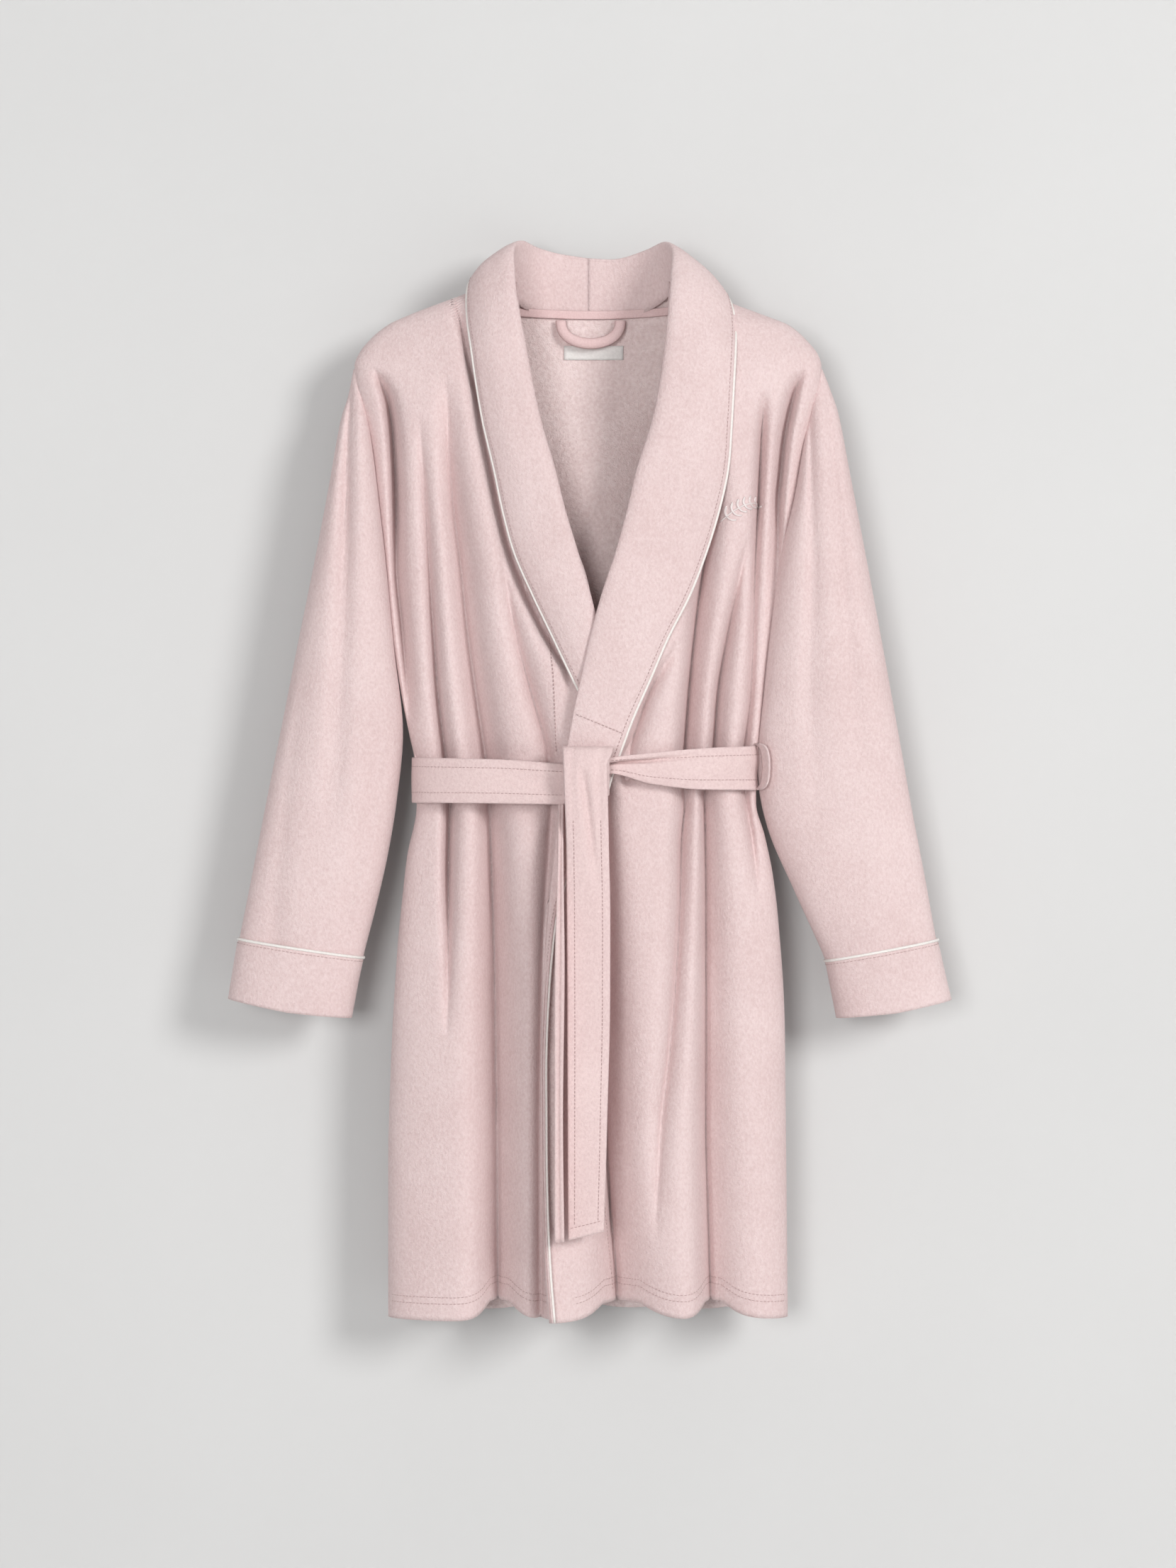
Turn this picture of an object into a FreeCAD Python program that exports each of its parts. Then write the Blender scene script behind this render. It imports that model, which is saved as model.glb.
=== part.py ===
import FreeCAD, Part
import math
import os
import Sketcher

# Hotel bathrobe with a shawl collar, hanging closed with its belt tied once.
# Millimetres.  +Z is up, -Y is the wearer's front, +X is the wearer's left.
# The origin is the middle of the back neck seam, where a hanger or hook holds it.

os.makedirs("parts", exist_ok=True)
doc = FreeCAD.newDocument("Bathrobe")
sheet = doc.addObject("Spreadsheet::Sheet", "Sizes")

# The levels at which the robe's girth is given: height, half width, depth behind
# and in front of the side seams.
LEVELS = {
    "crown": (28, 90, 38, 30),
    "slope": (-12, 192, 41, 34),
    "tip": (-49, 222, 42, 35),
    "underarm": (-250, 178, 46, 40),
    "waist_top": (-420, 158, 40, 38),
    "waist_low": (-469, 158, 40, 38),
    "hip": (-560, 176, 46, 42),
    "hem": (-947, 190, 56, 48),
}

# Lapel stations from the shoulder down: height, roll edge and piped edge.
LEFT_LAPEL = [
    (12, 76, 127),
    (-12, 73, 138),
    (-49, 70, 138),
    (-100, 62, 135),
    (-153, 45, 130),
    (-216, 30, 114),
    (-250, 19, 101),
    (-289, 7, 85),
    (-358, -9, 54),
    (-412, -19, 31),
    (-445, -22, 20),
    (-500, -30, -12),
    (-560, -38, -28),
    (-700, -43, -35),
    (-943, -39, -32),
]
RIGHT_LAPEL = [
    (12, -68, -116),
    (-12, -64, -113),
    (-49, -56, -108),
    (-98, -46, -101),
    (-143, -33, -90),
    (-216, -14, -73),
    (-250, -4, -60),
    (-289, 7, -43),
    (-358, 26, -9),
    (-412, 40, 14),
    (-500, 56, 44),
    (-560, 61, 52),
    (-700, 60, 52),
    (-943, 60, 52),
]

SIZES = [
    ("side_forward", 40, "how far the side seams stand in front of the neck seam"),
    ("cloth", 3, "velour thickness"),
    ("layer_step", 12, "how far the left front lies outside the right front"),
    ("facing_cloth", 2, "front facing thickness"),
    ("facing_gap", 0.6, "air between a front and its facing"),
    ("facing_wide", 65, "width of the front facings"),
    ("facing_tuck", 10, "how far a facing's curve ends short of the side seam"),
    ("collar_cloth", 4, "thickness of the folded collar"),
    ("collar_gap", 0.9, "air between a front and its collar"),
    ("shoulder_lift", 3.5, "extra air under the collar on top of the shoulders"),
    ("collar_top", 62, "top of the collar above the neck seam"),
    ("stand_cloth", 3.2, "thickness of the collar's stand"),
    ("fold_gap", 2, "air inside the collar's fold"),
    ("piping_thick", 3, "diameter of the satin piping"),
    ("belt_high", 43, "width of the belt"),
    ("belt_cloth", 3.5, "thickness of the doubled belt"),
    ("belt_low", -466, "lower edge of the belt"),
    ("belt_half", 160.5, "half width inside the belt"),
    ("belt_front", 56, "room inside the belt in front of the side seams"),
    ("belt_back", 41.5, "room inside the belt behind the side seams"),
    ("knot_wide", 42, "width of the half knot"),
    ("knot_high", 60, "height of the half knot"),
    ("knot_deep", 20, "depth of the half knot"),
    ("knot_low", -470.5, "lower edge of the half knot"),
    ("knot_round", 8, "rounding on top of the half knot"),
    ("tail_top", -474, "top of the belt tails"),
    ("tail_low", -874, "bottom of the belt tails"),
    ("tail_slant", 10, "slant of the tails' cut ends"),
    ("tail_front_wide", 41, "width of the front tail"),
    ("tail_front_left", -20, "viewer's left edge of the front tail"),
    ("tail_front_set", 122, "how far the front tail's face stands forward"),
    ("tail_rear_left", -29, "outer face of the rear tail"),
    ("tail_rear_near", 146, "front edge of the rear tail"),
    ("tail_rear_wide", 38, "width of the rear tail, front to back"),
    ("loop_wide", 66, "outside width of the hanging loop"),
    ("loop_drop", 29.5, "outside drop of the hanging loop"),
    ("loop_strip", 8, "width of the loop's tape"),
    ("loop_cloth", 1.5, "thickness of the loop's tape"),
    ("loop_top", -6, "top of the hanging loop"),
    ("loop_shift", 2, "how far the loop sits to the wearer's left"),
    ("loop_forward", 8, "how far the loop's face stands forward"),
    ("tape_half", 70, "half length of the neck tape"),
    ("tape_high", 9, "width of the neck tape"),
    ("tape_low", -5, "lower edge of the neck tape"),
    ("tape_cloth", 1, "thickness of the neck tape"),
    ("tape_bow", 8, "how far the neck tape bows back in its middle"),
    ("tape_forward", 4.2, "how far the tape's back stands in front of the seam"),
    ("label_long", 57, "length of the woven label"),
    ("label_high", 13, "height of the woven label"),
    ("label_thick", 0.8, "thickness of the woven label"),
    ("label_low", -47, "lower edge of the woven label"),
    ("label_left", -23, "viewer's left end of the woven label"),
    ("label_forward", 5, "how far the label's face stands forward"),
    ("sleeve_cloth", 2.5, "sleeve cloth thickness"),
    ("cuff_cloth", 3, "cuff cloth thickness"),
    ("cuff_gap", 0.6, "air between sleeve and cuff"),
    ("cuff_high", 53, "height of the turned-back cuff"),
    ("carrier_wide", 10, "width of the belt carriers"),
    ("carrier_cloth", 2, "thickness of the belt carriers"),
    ("carrier_reach", 167.5, "outer face of the belt carriers"),
    ("carrier_root", 159.9, "where the belt carriers meet the side seams"),
    ("carrier_top", -411, "upper end of the belt carriers"),
    ("carrier_low", -479, "lower end of the belt carriers"),
    ("motif_wide", 30, "width of the embroidered motif"),
    ("motif_high", 30, "height of the embroidered motif"),
    ("motif_thick", 1, "thickness of the embroidered motif"),
    ("motif_place", 146, "middle of the motif to the wearer's left"),
    ("motif_height", -190, "middle of the motif"),
    ("motif_turn", 23, "turn of the motif with the chest, degrees"),
]

# Sleeve ovals from the armhole to the wrist: name, centre out, height, half width,
# half depth and tilt in degrees.
SLEEVE_OVALS = [
    ("armhole", 203.0, -149.5, 102.5, 30, 77.6),
    ("elbow_high", 228.0, -305, 51, 31, 16),
    ("elbow_low", 237.0, -445, 62, 31, 10),
    ("wrist", 281.0, -608, 52.5, 26, 10.5),
    ("sleeve_end", 291.0, -661, 53, 26, 10.5),
]
for name, (height, half, back, front) in LEVELS.items():
    SIZES.append((name + "_height", height, "height of this level"))
    SIZES.append((name + "_half", half, "half width at this level"))
    SIZES.append((name + "_back", back, "depth behind the side seams"))
    SIZES.append((name + "_front", front, "depth in front of the side seams"))
for name, out, height, half, deep, tilt in SLEEVE_OVALS:
    SIZES.append((name + "_out", out, "oval centre from the middle"))
    SIZES.append((name + "_up", height, "oval centre height"))
    SIZES.append((name + "_wide", half, "oval half width"))
    SIZES.append((name + "_deep", deep, "oval half depth"))
    SIZES.append((name + "_tilt", tilt, "oval tilt, degrees"))
for side, stations in (("left", LEFT_LAPEL), ("right", RIGHT_LAPEL)):
    for number, (height, roll, edge) in enumerate(stations):
        SIZES.append(("%s_lapel_height_%d" % (side, number), height, "lapel station"))
        SIZES.append(("%s_lapel_roll_%d" % (side, number), roll, "roll edge"))
        SIZES.append(("%s_lapel_edge_%d" % (side, number), edge, "piped edge"))

for row, (name, number, note) in enumerate(SIZES, start=1):
    sheet.set("A%d" % row, name)
    sheet.set("B%d" % row, str(number))
    sheet.set("C%d" % row, note)
    sheet.setAlias("B%d" % row, name)
doc.recompute()


def size(name):
    """The number in one cell of the sheet."""
    return float(sheet.get(name))


def cell(name):
    """The expression that reads one cell of the sheet."""
    return "Sizes." + name


def vec(x, y, z=0):
    return FreeCAD.Vector(x, y, z)


def plane(body, role):
    """One of a body's own origin planes."""
    for feature in body.Origin.OriginFeatures:
        if feature.Role == role:
            return feature
    raise ValueError(role)


def new_body(name, forward=True):
    """A body, set forward to the side seams if it is part of the robe's trunk."""
    body = doc.addObject("PartDesign::Body", name)
    body.Label = name
    if forward:
        body.setExpression("Placement.Base.y", "-" + cell("side_forward"))
    return body


def new_sketch(body, name, role, offset=None):
    """A sketch on one of a body's origin planes, raised by an expression."""
    sketch = body.newObject("Sketcher::SketchObject", name)
    sketch.AttachmentSupport = [(plane(body, role), "")]
    sketch.MapMode = "FlatFace"
    if offset:
        sketch.setExpression("AttachmentOffset.Base.z", offset)
    return sketch


def bind(sketch, constraint, expression):
    """Adds a dimension and binds it to the sheet."""
    index = sketch.addConstraint(constraint)
    sketch.setExpression("Constraints[%d]" % index, expression)


def radius_of(half, depth):
    """Expression for the radius of an arc with this half chord and rise."""
    return "((%s)^2 + (%s)^2) / (2 * (%s))" % (half, depth, depth)


def evaluate(expression):
    return float(sheet.evalExpression(expression))


def add_arc(sketch, half, depth, sign):
    """An arc between two points on the side-seam line, bowed back (1) or forward (-1)."""
    reach = evaluate(half)
    rise = evaluate(depth)
    arc = Part.Arc(vec(-reach, 0), vec(0, sign * rise), vec(reach, 0))
    index = sketch.addGeometry(arc, False)
    # A sketch keeps arcs counter-clockwise, so a forward arc starts at -X.
    right_end, left_end = (1, 2) if sign > 0 else (2, 1)
    sketch.addConstraint(Sketcher.Constraint("PointOnObject", index, right_end, -1))
    sketch.addConstraint(Sketcher.Constraint("PointOnObject", index, left_end, -1))
    right = Sketcher.Constraint("DistanceX", -1, 1, index, right_end, reach)
    left = Sketcher.Constraint("DistanceX", index, left_end, -1, 1, reach)
    bind(sketch, right, half)
    bind(sketch, left, half)
    radius = Sketcher.Constraint("Radius", index, evaluate(radius_of(half, depth)))
    bind(sketch, radius, radius_of(half, depth))
    return index, right_end, left_end


def add_crescent(sketch, half, depth, thick, sign):
    """A closed crescent of cloth: outer arc, inner arc and the two seam ends."""
    inset = "(%s) * ((%s)^2 + (%s)^2) / (2 * (%s) * (%s))" % (thick, half, depth, half, depth)
    inner_half = "(%s) - (%s)" % (half, inset)
    inner_depth = "(%s) - (%s)" % (depth, thick)
    outer = add_arc(sketch, half, depth, sign)
    inner = add_arc(sketch, inner_half, inner_depth, sign)
    for end, reach in ((1, 1), (2, -1)):
        start_x = reach * evaluate(half)
        stop_x = reach * evaluate(inner_half)
        line = sketch.addGeometry(Part.LineSegment(vec(start_x, 0), vec(stop_x, 0)), False)
        sketch.addConstraint(Sketcher.Constraint("Coincident", line, 1, outer[0], outer[end]))
        sketch.addConstraint(Sketcher.Constraint("Coincident", line, 2, inner[0], inner[end]))


def cloth_shell(name, side, sign, thick, shift="0", tuck="0"):
    """A lofted wall of cloth through every level, behind or in front of the side seams."""
    body = new_body(name)
    sections = []
    for level in LEVELS:
        depth = "%s + (%s)" % (cell("%s_%s" % (level, side)), shift)
        sketch = new_sketch(body, "%s_%s" % (name, level), "XY_Plane", cell(level + "_height"))
        half = "%s - %s" % (cell(level + "_half"), tuck)
        add_crescent(sketch, half, depth, thick, sign)
        sections.append(sketch)
    loft = body.newObject("PartDesign::AdditiveLoft", name + "_loft")
    loft.Profile = sections[0]
    loft.Sections = sections[1:]
    loft.Ruled = True
    return body


def outline_prism(name, points):
    """A prism through the robe, whose outline in front view is a closed polygon."""
    sketch = doc.addObject("Sketcher::SketchObject", name + "_outline")
    turn = FreeCAD.Rotation(vec(1, 0, 0), 90)
    sketch.Placement = FreeCAD.Placement(vec(0, 0, 0), turn)
    spots = [(evaluate(x), evaluate(z)) for x, z in points]
    for number, spot in enumerate(spots):
        following = spots[(number + 1) % len(spots)]
        sketch.addGeometry(Part.LineSegment(vec(*spot), vec(*following)), False)
    for number in range(len(spots)):
        following = (number + 1) % len(spots)
        sketch.addConstraint(Sketcher.Constraint("Coincident", number, 2, following, 1))
    for number, (x, z) in enumerate(points):
        across = Sketcher.Constraint("DistanceX", -1, 1, number, 1, spots[number][0])
        upward = Sketcher.Constraint("DistanceY", -1, 1, number, 1, spots[number][1])
        if spots[number][0] < 0:
            across = Sketcher.Constraint("DistanceX", number, 1, -1, 1, -spots[number][0])
            x = "-(%s)" % x
        if spots[number][1] < 0:
            upward = Sketcher.Constraint("DistanceY", number, 1, -1, 1, -spots[number][1])
            z = "-(%s)" % z
        bind(sketch, across, x)
        bind(sketch, upward, z)
    prism = doc.addObject("Part::Extrusion", name + "_prism")
    prism.Base = sketch
    prism.DirMode = "Normal"
    prism.LengthFwd = 500
    prism.Symmetric = True
    prism.Solid = True
    return prism


def cut_to_outline(name, shell, points):
    """A cloth piece: the part of a shell that lies inside a front-view outline."""
    piece = doc.addObject("Part::Common", name)
    piece.Label = name
    piece.Base = shell
    piece.Tool = outline_prism(name, points)
    return piece


def lapel_line(side, column, shift=0):
    """A lapel's roll or piped edge as outline points, from the shoulder to the hem."""
    stations = LEFT_LAPEL if side == "left" else RIGHT_LAPEL
    points = []
    for number in range(len(stations)):
        x = "%s + %s" % (cell("%s_lapel_%s_%d" % (side, column, number)), shift)
        z = cell("%s_lapel_height_%d" % (side, number))
        points.append((x, z))
    return points


ABOVE = "60"
BELOW = "-990"
BESIDE = 270

pieces = []

# Back panel: its neck edge dips to the origin at the middle.
back_shell = cloth_shell("back_shell", "back", 1, cell("cloth"))
back_neck = [(-84, 60), (-84, 26), (-66, 8), (-40, 1.2), (0.01, 0.01)]
back_neck += [(40, 1.2), (66, 8), (84, 26), (84, 60)]
back_outline = [("-270", ABOVE)]
back_outline += [(str(x), str(z)) for x, z in back_neck]
back_outline += [("270", ABOVE), ("270", BELOW), ("-270", BELOW)]
pieces.append(cut_to_outline("back_panel", back_shell, back_outline))

# Fronts and facings: the left front lies outside the right front.
for side, sign, shift in (("right", -1, "0"), ("left", 1, cell("layer_step"))):
    shell = cloth_shell(side + "_front_shell", "front", -1, cell("cloth"), shift)
    edge = lapel_line(side, "roll")
    top = (edge[0][0], ABOVE)
    bottom = (edge[-1][0], BELOW)
    outline = [top] + edge + [bottom, (str(sign * BESIDE), BELOW), (str(sign * BESIDE), ABOVE)]
    pieces.append(cut_to_outline(side + "_front_panel", shell, outline))
    inward = "(%s) - %s - %s" % (shift, cell("cloth"), cell("facing_gap"))
    tuck = cell("facing_tuck")
    lining = cloth_shell(side + "_facing_shell", "front", -1, cell("facing_cloth"), inward, tuck)
    outer = lapel_line(side, "roll", "%d * 0.5" % sign)[2:]
    inner = lapel_line(side, "roll", "%d * %s" % (sign, cell("facing_wide")))[2:]
    outline = outer + [(outer[-1][0], BELOW), (inner[-1][0], BELOW)] + inner[::-1]
    pieces.append(cut_to_outline(side + "_front_facing", lining, outline))


def girth_at(height):
    """Half width and front depth of the robe between two levels."""
    names = list(LEVELS)
    for above, below in zip(names, names[1:]):
        high = size(above + "_height")
        low = size(below + "_height")
        if low <= height <= high:
            share = (high - height) / (high - low)
            half = size(above + "_half") * (1 - share) + size(below + "_half") * share
            depth = size(above + "_front") * (1 - share) + size(below + "_front") * share
            return half, depth
    raise ValueError(height)


def front_face(x, height, extra):
    """The Y of a front's outer face, moved out by extra."""
    half, depth = girth_at(height)
    depth += extra
    radius = (half ** 2 + depth ** 2) / (2 * depth)
    rise = math.sqrt(radius ** 2 - x ** 2) - (radius - depth)
    return -size("side_forward") - rise


def face_of(points):
    return Part.makePolygon(points + [points[0]])


def neck_station(side, azimuth, out, back, top, stand_in, stand_drop, fall_out, fall_drop):
    """The collar's folded section in an upright plane through its roll, as 8 corners."""
    direction = vec(side * math.cos(math.radians(azimuth)), math.sin(math.radians(azimuth)))
    roll = vec(side * out, back, top)
    stand = size("stand_cloth")
    gap = size("fold_gap")
    fall = size("collar_cloth")

    def corner(outward, drop):
        return roll + direction * outward - vec(0, 0, drop)

    return [
        corner(stand_in, stand_drop),
        corner(0, 0),
        corner(stand + gap + fall, 0),
        corner(fall_out, fall_drop),
        corner(fall_out - fall, fall_drop),
        corner(stand + gap, fall),
        corner(stand, fall),
        corner(stand_in + stand, stand_drop),
    ]


def skin(sections):
    """A closed solid of flat triangles from each polygon to the next, corner to corner."""
    faces = [Part.Face(face_of(sections[0])), Part.Face(face_of(sections[-1]))]
    for near, far in zip(sections, sections[1:]):
        for number in range(len(near)):
            following = (number + 1) % len(near)
            faces.append(Part.Face(face_of([near[number], near[following], far[following]])))
            faces.append(Part.Face(face_of([near[number], far[following], far[number]])))
    shell = Part.Shell(faces)
    shell.sewShape()
    solid = Part.Solid(shell)
    if solid.Volume < 0:
        solid.reverse()
    return solid


def feature(name, shape):
    """A sub-part whose shape is built here from the sheet's sizes."""
    part = doc.addObject("Part::Feature", name)
    part.Label = name
    part.Shape = shape
    part.Placement = FreeCAD.Placement()
    return part


def between(first, last, steps):
    """Points from first to last, both kept."""
    return [first + (last - first) * (step / steps) for step in range(steps + 1)]


def lapel_station(side, number, extra):
    """One level of a lapel: back along the front's face, then out and back again."""
    height = size("%s_lapel_height_%d" % (side, number))
    roll = size("%s_lapel_roll_%d" % (side, number))
    edge = size("%s_lapel_edge_%d" % (side, number))
    near = size("collar_gap")
    if height > size("slope_height") - 1:
        near += size("shoulder_lift")
    far = near + size("collar_cloth")
    places = between(roll, edge, LAPEL_STEPS)
    inner = [vec(x, front_face(x, height, extra) - near, height) for x in places]
    outer = [vec(x, front_face(x, height, extra) - far, height) for x in places]
    return outer + inner[::-1]


LAPEL_STEPS = 3

# Collar halves: folded round the back of the neck, then lying on the fronts.
for side, sign, stations in (("right", -1, RIGHT_LAPEL), ("left", 1, LEFT_LAPEL)):
    extra = size("layer_step") if side == "left" else 0
    top = size("collar_top")
    reach = 130 if side == "left" else 118
    folded = [
        neck_station(sign, 90, 0, -4, top, 0.8, top - 0.6, 14, 105),
        neck_station(sign, 50, 55, -13, top + 2, 8, top - 6, 32, 70),
        neck_station(sign, 25, 71, -26, top + 3, 5, top - 16, 42, 62),
        neck_station(sign, 0, 80, -40, top + 4, 3, top - 26, reach - 80, 42),
    ]
    neck = Part.makeLoft([face_of(points) for points in folded], True, True)
    last = folded[-1]
    plate = [between(last[2], last[3], LAPEL_STEPS) + between(last[4], last[5], LAPEL_STEPS)]
    for number in range(len(stations)):
        plate.append(lapel_station(side, number, extra))
    lapel = Part.makeLoft([face_of(points) for points in plate], True, True)
    pieces.append(feature("collar_" + side, neck.fuse(lapel).removeSplitter()))

    # Piping: a fine rolled strip just outside the collar's outer edge.
    thick = size("piping_thick")
    strip = []
    for points in folded:
        away = (points[3] - points[4]).normalize()
        start = points[3] - vec(0, 0, 0.2)
        strip.append([
            start,
            start - away * thick,
            start - away * thick - vec(0, 0, thick),
            start - vec(0, 0, thick),
        ])
    for points in plate[1:]:
        tip = points[LAPEL_STEPS]
        away = (tip - points[0]).normalize()
        start = tip + away * 0.2
        deep = vec(0, thick, 0)
        strip.append([start, start + deep, start + deep + away * thick, start + away * thick])
    pieces.append(feature("collar_piping_" + side, skin(strip)))

# Neck tape over the seam between back panel and collar.
tape = new_body("neck_tape", False)
tape.setExpression("Placement.Base.y", "-%s - %s" % (cell("tape_forward"), cell("tape_bow")))
sketch = new_sketch(tape, "neck_tape_section", "XY_Plane", cell("tape_low"))
add_crescent(sketch, cell("tape_half"), cell("tape_bow"), cell("tape_cloth"), 1)
pad = tape.newObject("PartDesign::Pad", "neck_tape_pad")
pad.Profile = sketch
pad.setExpression("Length", cell("tape_high"))
pieces.append(tape)

# Hanging loop: a U of flat tape, free to swing at its sewn ends.
loop = new_body("hanging_loop", False)
loop.setExpression("Placement.Base.x", cell("loop_shift"))
loop.setExpression("Placement.Base.z", cell("loop_top"))
sketch = new_sketch(loop, "hanging_loop_shape", "XZ_Plane", cell("loop_forward"))
outer_half = "%s / 2" % cell("loop_wide")
inner_half = "%s / 2 - %s" % (cell("loop_wide"), cell("loop_strip"))
inner_drop = "%s - %s" % (cell("loop_drop"), cell("loop_strip"))
outer = add_arc(sketch, outer_half, cell("loop_drop"), -1)
inner = add_arc(sketch, inner_half, inner_drop, -1)
for end, reach in ((1, 1), (2, -1)):
    ends = vec(reach * evaluate(outer_half), 0), vec(reach * evaluate(inner_half), 0)
    line = sketch.addGeometry(Part.LineSegment(*ends), False)
    sketch.addConstraint(Sketcher.Constraint("Coincident", line, 1, outer[0], outer[end]))
    sketch.addConstraint(Sketcher.Constraint("Coincident", line, 2, inner[0], inner[end]))
pad = loop.newObject("PartDesign::Pad", "hanging_loop_pad")
pad.Profile = sketch
pad.setExpression("Length", cell("loop_cloth"))
pad.Reversed = True
pieces.append(loop)


def block(name, x, y, z, long, deep, high):
    """A box with every size and corner bound to the sheet."""
    box = doc.addObject("Part::Box", name)
    box.Label = name
    box.setExpression("Length", long)
    box.setExpression("Width", deep)
    box.setExpression("Height", high)
    box.setExpression("Placement.Base.x", x)
    box.setExpression("Placement.Base.y", y)
    box.setExpression("Placement.Base.z", z)
    return box


pieces.append(block(
    "woven_label",
    cell("label_left"), "-" + cell("label_forward"), cell("label_low"),
    cell("label_long"), cell("label_thick"), cell("label_high"),
))

# Embroidered motif on the left chest, turned with the chest's curve.
motif_x = size("motif_place")
motif_face = front_face(motif_x, size("motif_height"), size("layer_step"))
motif = doc.addObject("Part::Box", "chest_embroidery")
motif.Label = "chest_embroidery"
motif.setExpression("Length", cell("motif_wide"))
motif.setExpression("Width", cell("motif_thick"))
motif.setExpression("Height", cell("motif_high"))
turn = FreeCAD.Rotation(vec(0, 0, 1), size("motif_turn"))
corner = turn.multVec(vec(-size("motif_wide") / 2, -size("motif_thick"), -size("motif_high") / 2))
middle = vec(motif_x, motif_face - 1.3, size("motif_height"))
motif.Placement = FreeCAD.Placement(middle + corner, turn)
pieces.append(motif)

# Belt round the waist.
belt = new_body("belt_band")
sketch = new_sketch(belt, "belt_band_section", "XY_Plane", cell("belt_low"))
for grow in ("0", cell("belt_cloth")):
    reach = "%s + (%s)" % (cell("belt_half"), grow)
    behind = add_arc(sketch, reach, "%s + (%s)" % (cell("belt_back"), grow), 1)
    before = add_arc(sketch, reach, "%s + (%s)" % (cell("belt_front"), grow), -1)
pad = belt.newObject("PartDesign::Pad", "belt_band_pad")
pad.Profile = sketch
pad.setExpression("Length", cell("belt_high"))
pieces.append(belt)


def add_polygon(sketch, points):
    """A closed polygon with each corner bound to two expressions."""
    spots = [(evaluate(x), evaluate(y)) for x, y in points]
    first = sketch.GeometryCount
    for number, spot in enumerate(spots):
        following = spots[(number + 1) % len(spots)]
        sketch.addGeometry(Part.LineSegment(vec(*spot), vec(*following)), False)
    for number in range(len(spots)):
        following = first + (number + 1) % len(spots)
        sketch.addConstraint(Sketcher.Constraint("Coincident", first + number, 2, following, 1))
    for number, (x, y) in enumerate(points):
        for kind, place, text in (("DistanceX", spots[number][0], x), ("DistanceY", spots[number][1], y)):
            if place >= 0:
                bind(sketch, Sketcher.Constraint(kind, -1, 1, first + number, 1, place), text)
            else:
                limit = Sketcher.Constraint(kind, first + number, 1, -1, 1, -place)
                bind(sketch, limit, "-(%s)" % text)


# Half knot in front of the belt, rounded where the belt folds over.
knot = new_body("belt_knot", False)
knot_back = "-(%s + %s + %s + 0.6)" % (cell("side_forward"), cell("belt_front"), cell("belt_cloth"))
sketch = new_sketch(knot, "belt_knot_side", "YZ_Plane", "-%s / 2" % cell("knot_wide"))
low = cell("knot_low")
high = "%s + %s" % (low, cell("knot_high"))
front = "%s - %s" % (knot_back, cell("knot_deep"))
add_polygon(sketch, [(front, low), (knot_back, low), (knot_back, high), (front, high)])
pad = knot.newObject("PartDesign::Pad", "belt_knot_pad")
pad.Profile = sketch
pad.setExpression("Length", cell("knot_wide"))
doc.recompute()
top_edges = []
for number, edge in enumerate(pad.Shape.Edges, start=1):
    middle = edge.CenterOfMass
    if abs(middle.z - evaluate(high)) < 0.01 and abs(edge.BoundBox.XLength) > 1:
        top_edges.append("Edge%d" % number)
fillet = knot.newObject("PartDesign::Fillet", "belt_knot_fold")
fillet.Base = (pad, top_edges)
fillet.setExpression("Radius", cell("knot_round"))
pieces.append(knot)

# Front tail: flat to the front.  Rear tail: turned edge-on beside it.
front_tail = new_body("belt_tail_front", False)
sketch = new_sketch(front_tail, "belt_tail_front_shape", "XZ_Plane", cell("tail_front_set"))
left = cell("tail_front_left")
right = "%s + %s" % (left, cell("tail_front_wide"))
low = cell("tail_low")
add_polygon(sketch, [
    (left, cell("tail_top")),
    (left, low),
    (right, "%s + %s" % (low, cell("tail_slant"))),
    (right, cell("tail_top")),
])
pad = front_tail.newObject("PartDesign::Pad", "belt_tail_front_pad")
pad.Profile = sketch
pad.setExpression("Length", cell("belt_cloth"))
pad.Reversed = True
pieces.append(front_tail)

rear_tail = new_body("belt_tail_rear", False)
sketch = new_sketch(rear_tail, "belt_tail_rear_shape", "YZ_Plane", cell("tail_rear_left"))
near = "-" + cell("tail_rear_near")
back = "%s + %s" % (near, cell("tail_rear_wide"))
add_polygon(sketch, [
    (near, cell("tail_top")),
    (near, low),
    (back, "%s + %s" % (low, cell("tail_slant"))),
    (back, cell("tail_top")),
])
pad = rear_tail.newObject("PartDesign::Pad", "belt_tail_rear_pad")
pad.Profile = sketch
pad.setExpression("Length", "%s + 1.5" % cell("belt_cloth"))
pieces.append(rear_tail)

# Belt carriers at the side seams: short straps that the belt runs through.
for side, sign in (("right", -1), ("left", 1)):
    carrier = new_body("belt_carrier_" + side)
    sketch = new_sketch(carrier, "belt_carrier_%s_shape" % side, "XZ_Plane", None)
    root = "%d * %s" % (sign, cell("carrier_root"))
    outer = "%d * %s" % (sign, cell("carrier_reach"))
    inner = "%d * (%s - %s)" % (sign, cell("carrier_reach"), cell("carrier_cloth"))
    high = cell("carrier_top")
    low = cell("carrier_low")
    high_in = "%s - %s" % (high, cell("carrier_cloth"))
    low_in = "%s + %s" % (low, cell("carrier_cloth"))
    add_polygon(sketch, [
        (root, high), (outer, high), (outer, low), (root, low),
        (root, low_in), (inner, low_in), (inner, high_in), (root, high_in),
    ])
    pad = carrier.newObject("PartDesign::Pad", "belt_carrier_%s_pad" % side)
    pad.Profile = sketch
    pad.setExpression("Length", cell("carrier_wide"))
    pad.Midplane = True
    pieces.append(carrier)


OVAL_CORNERS = 28


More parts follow.
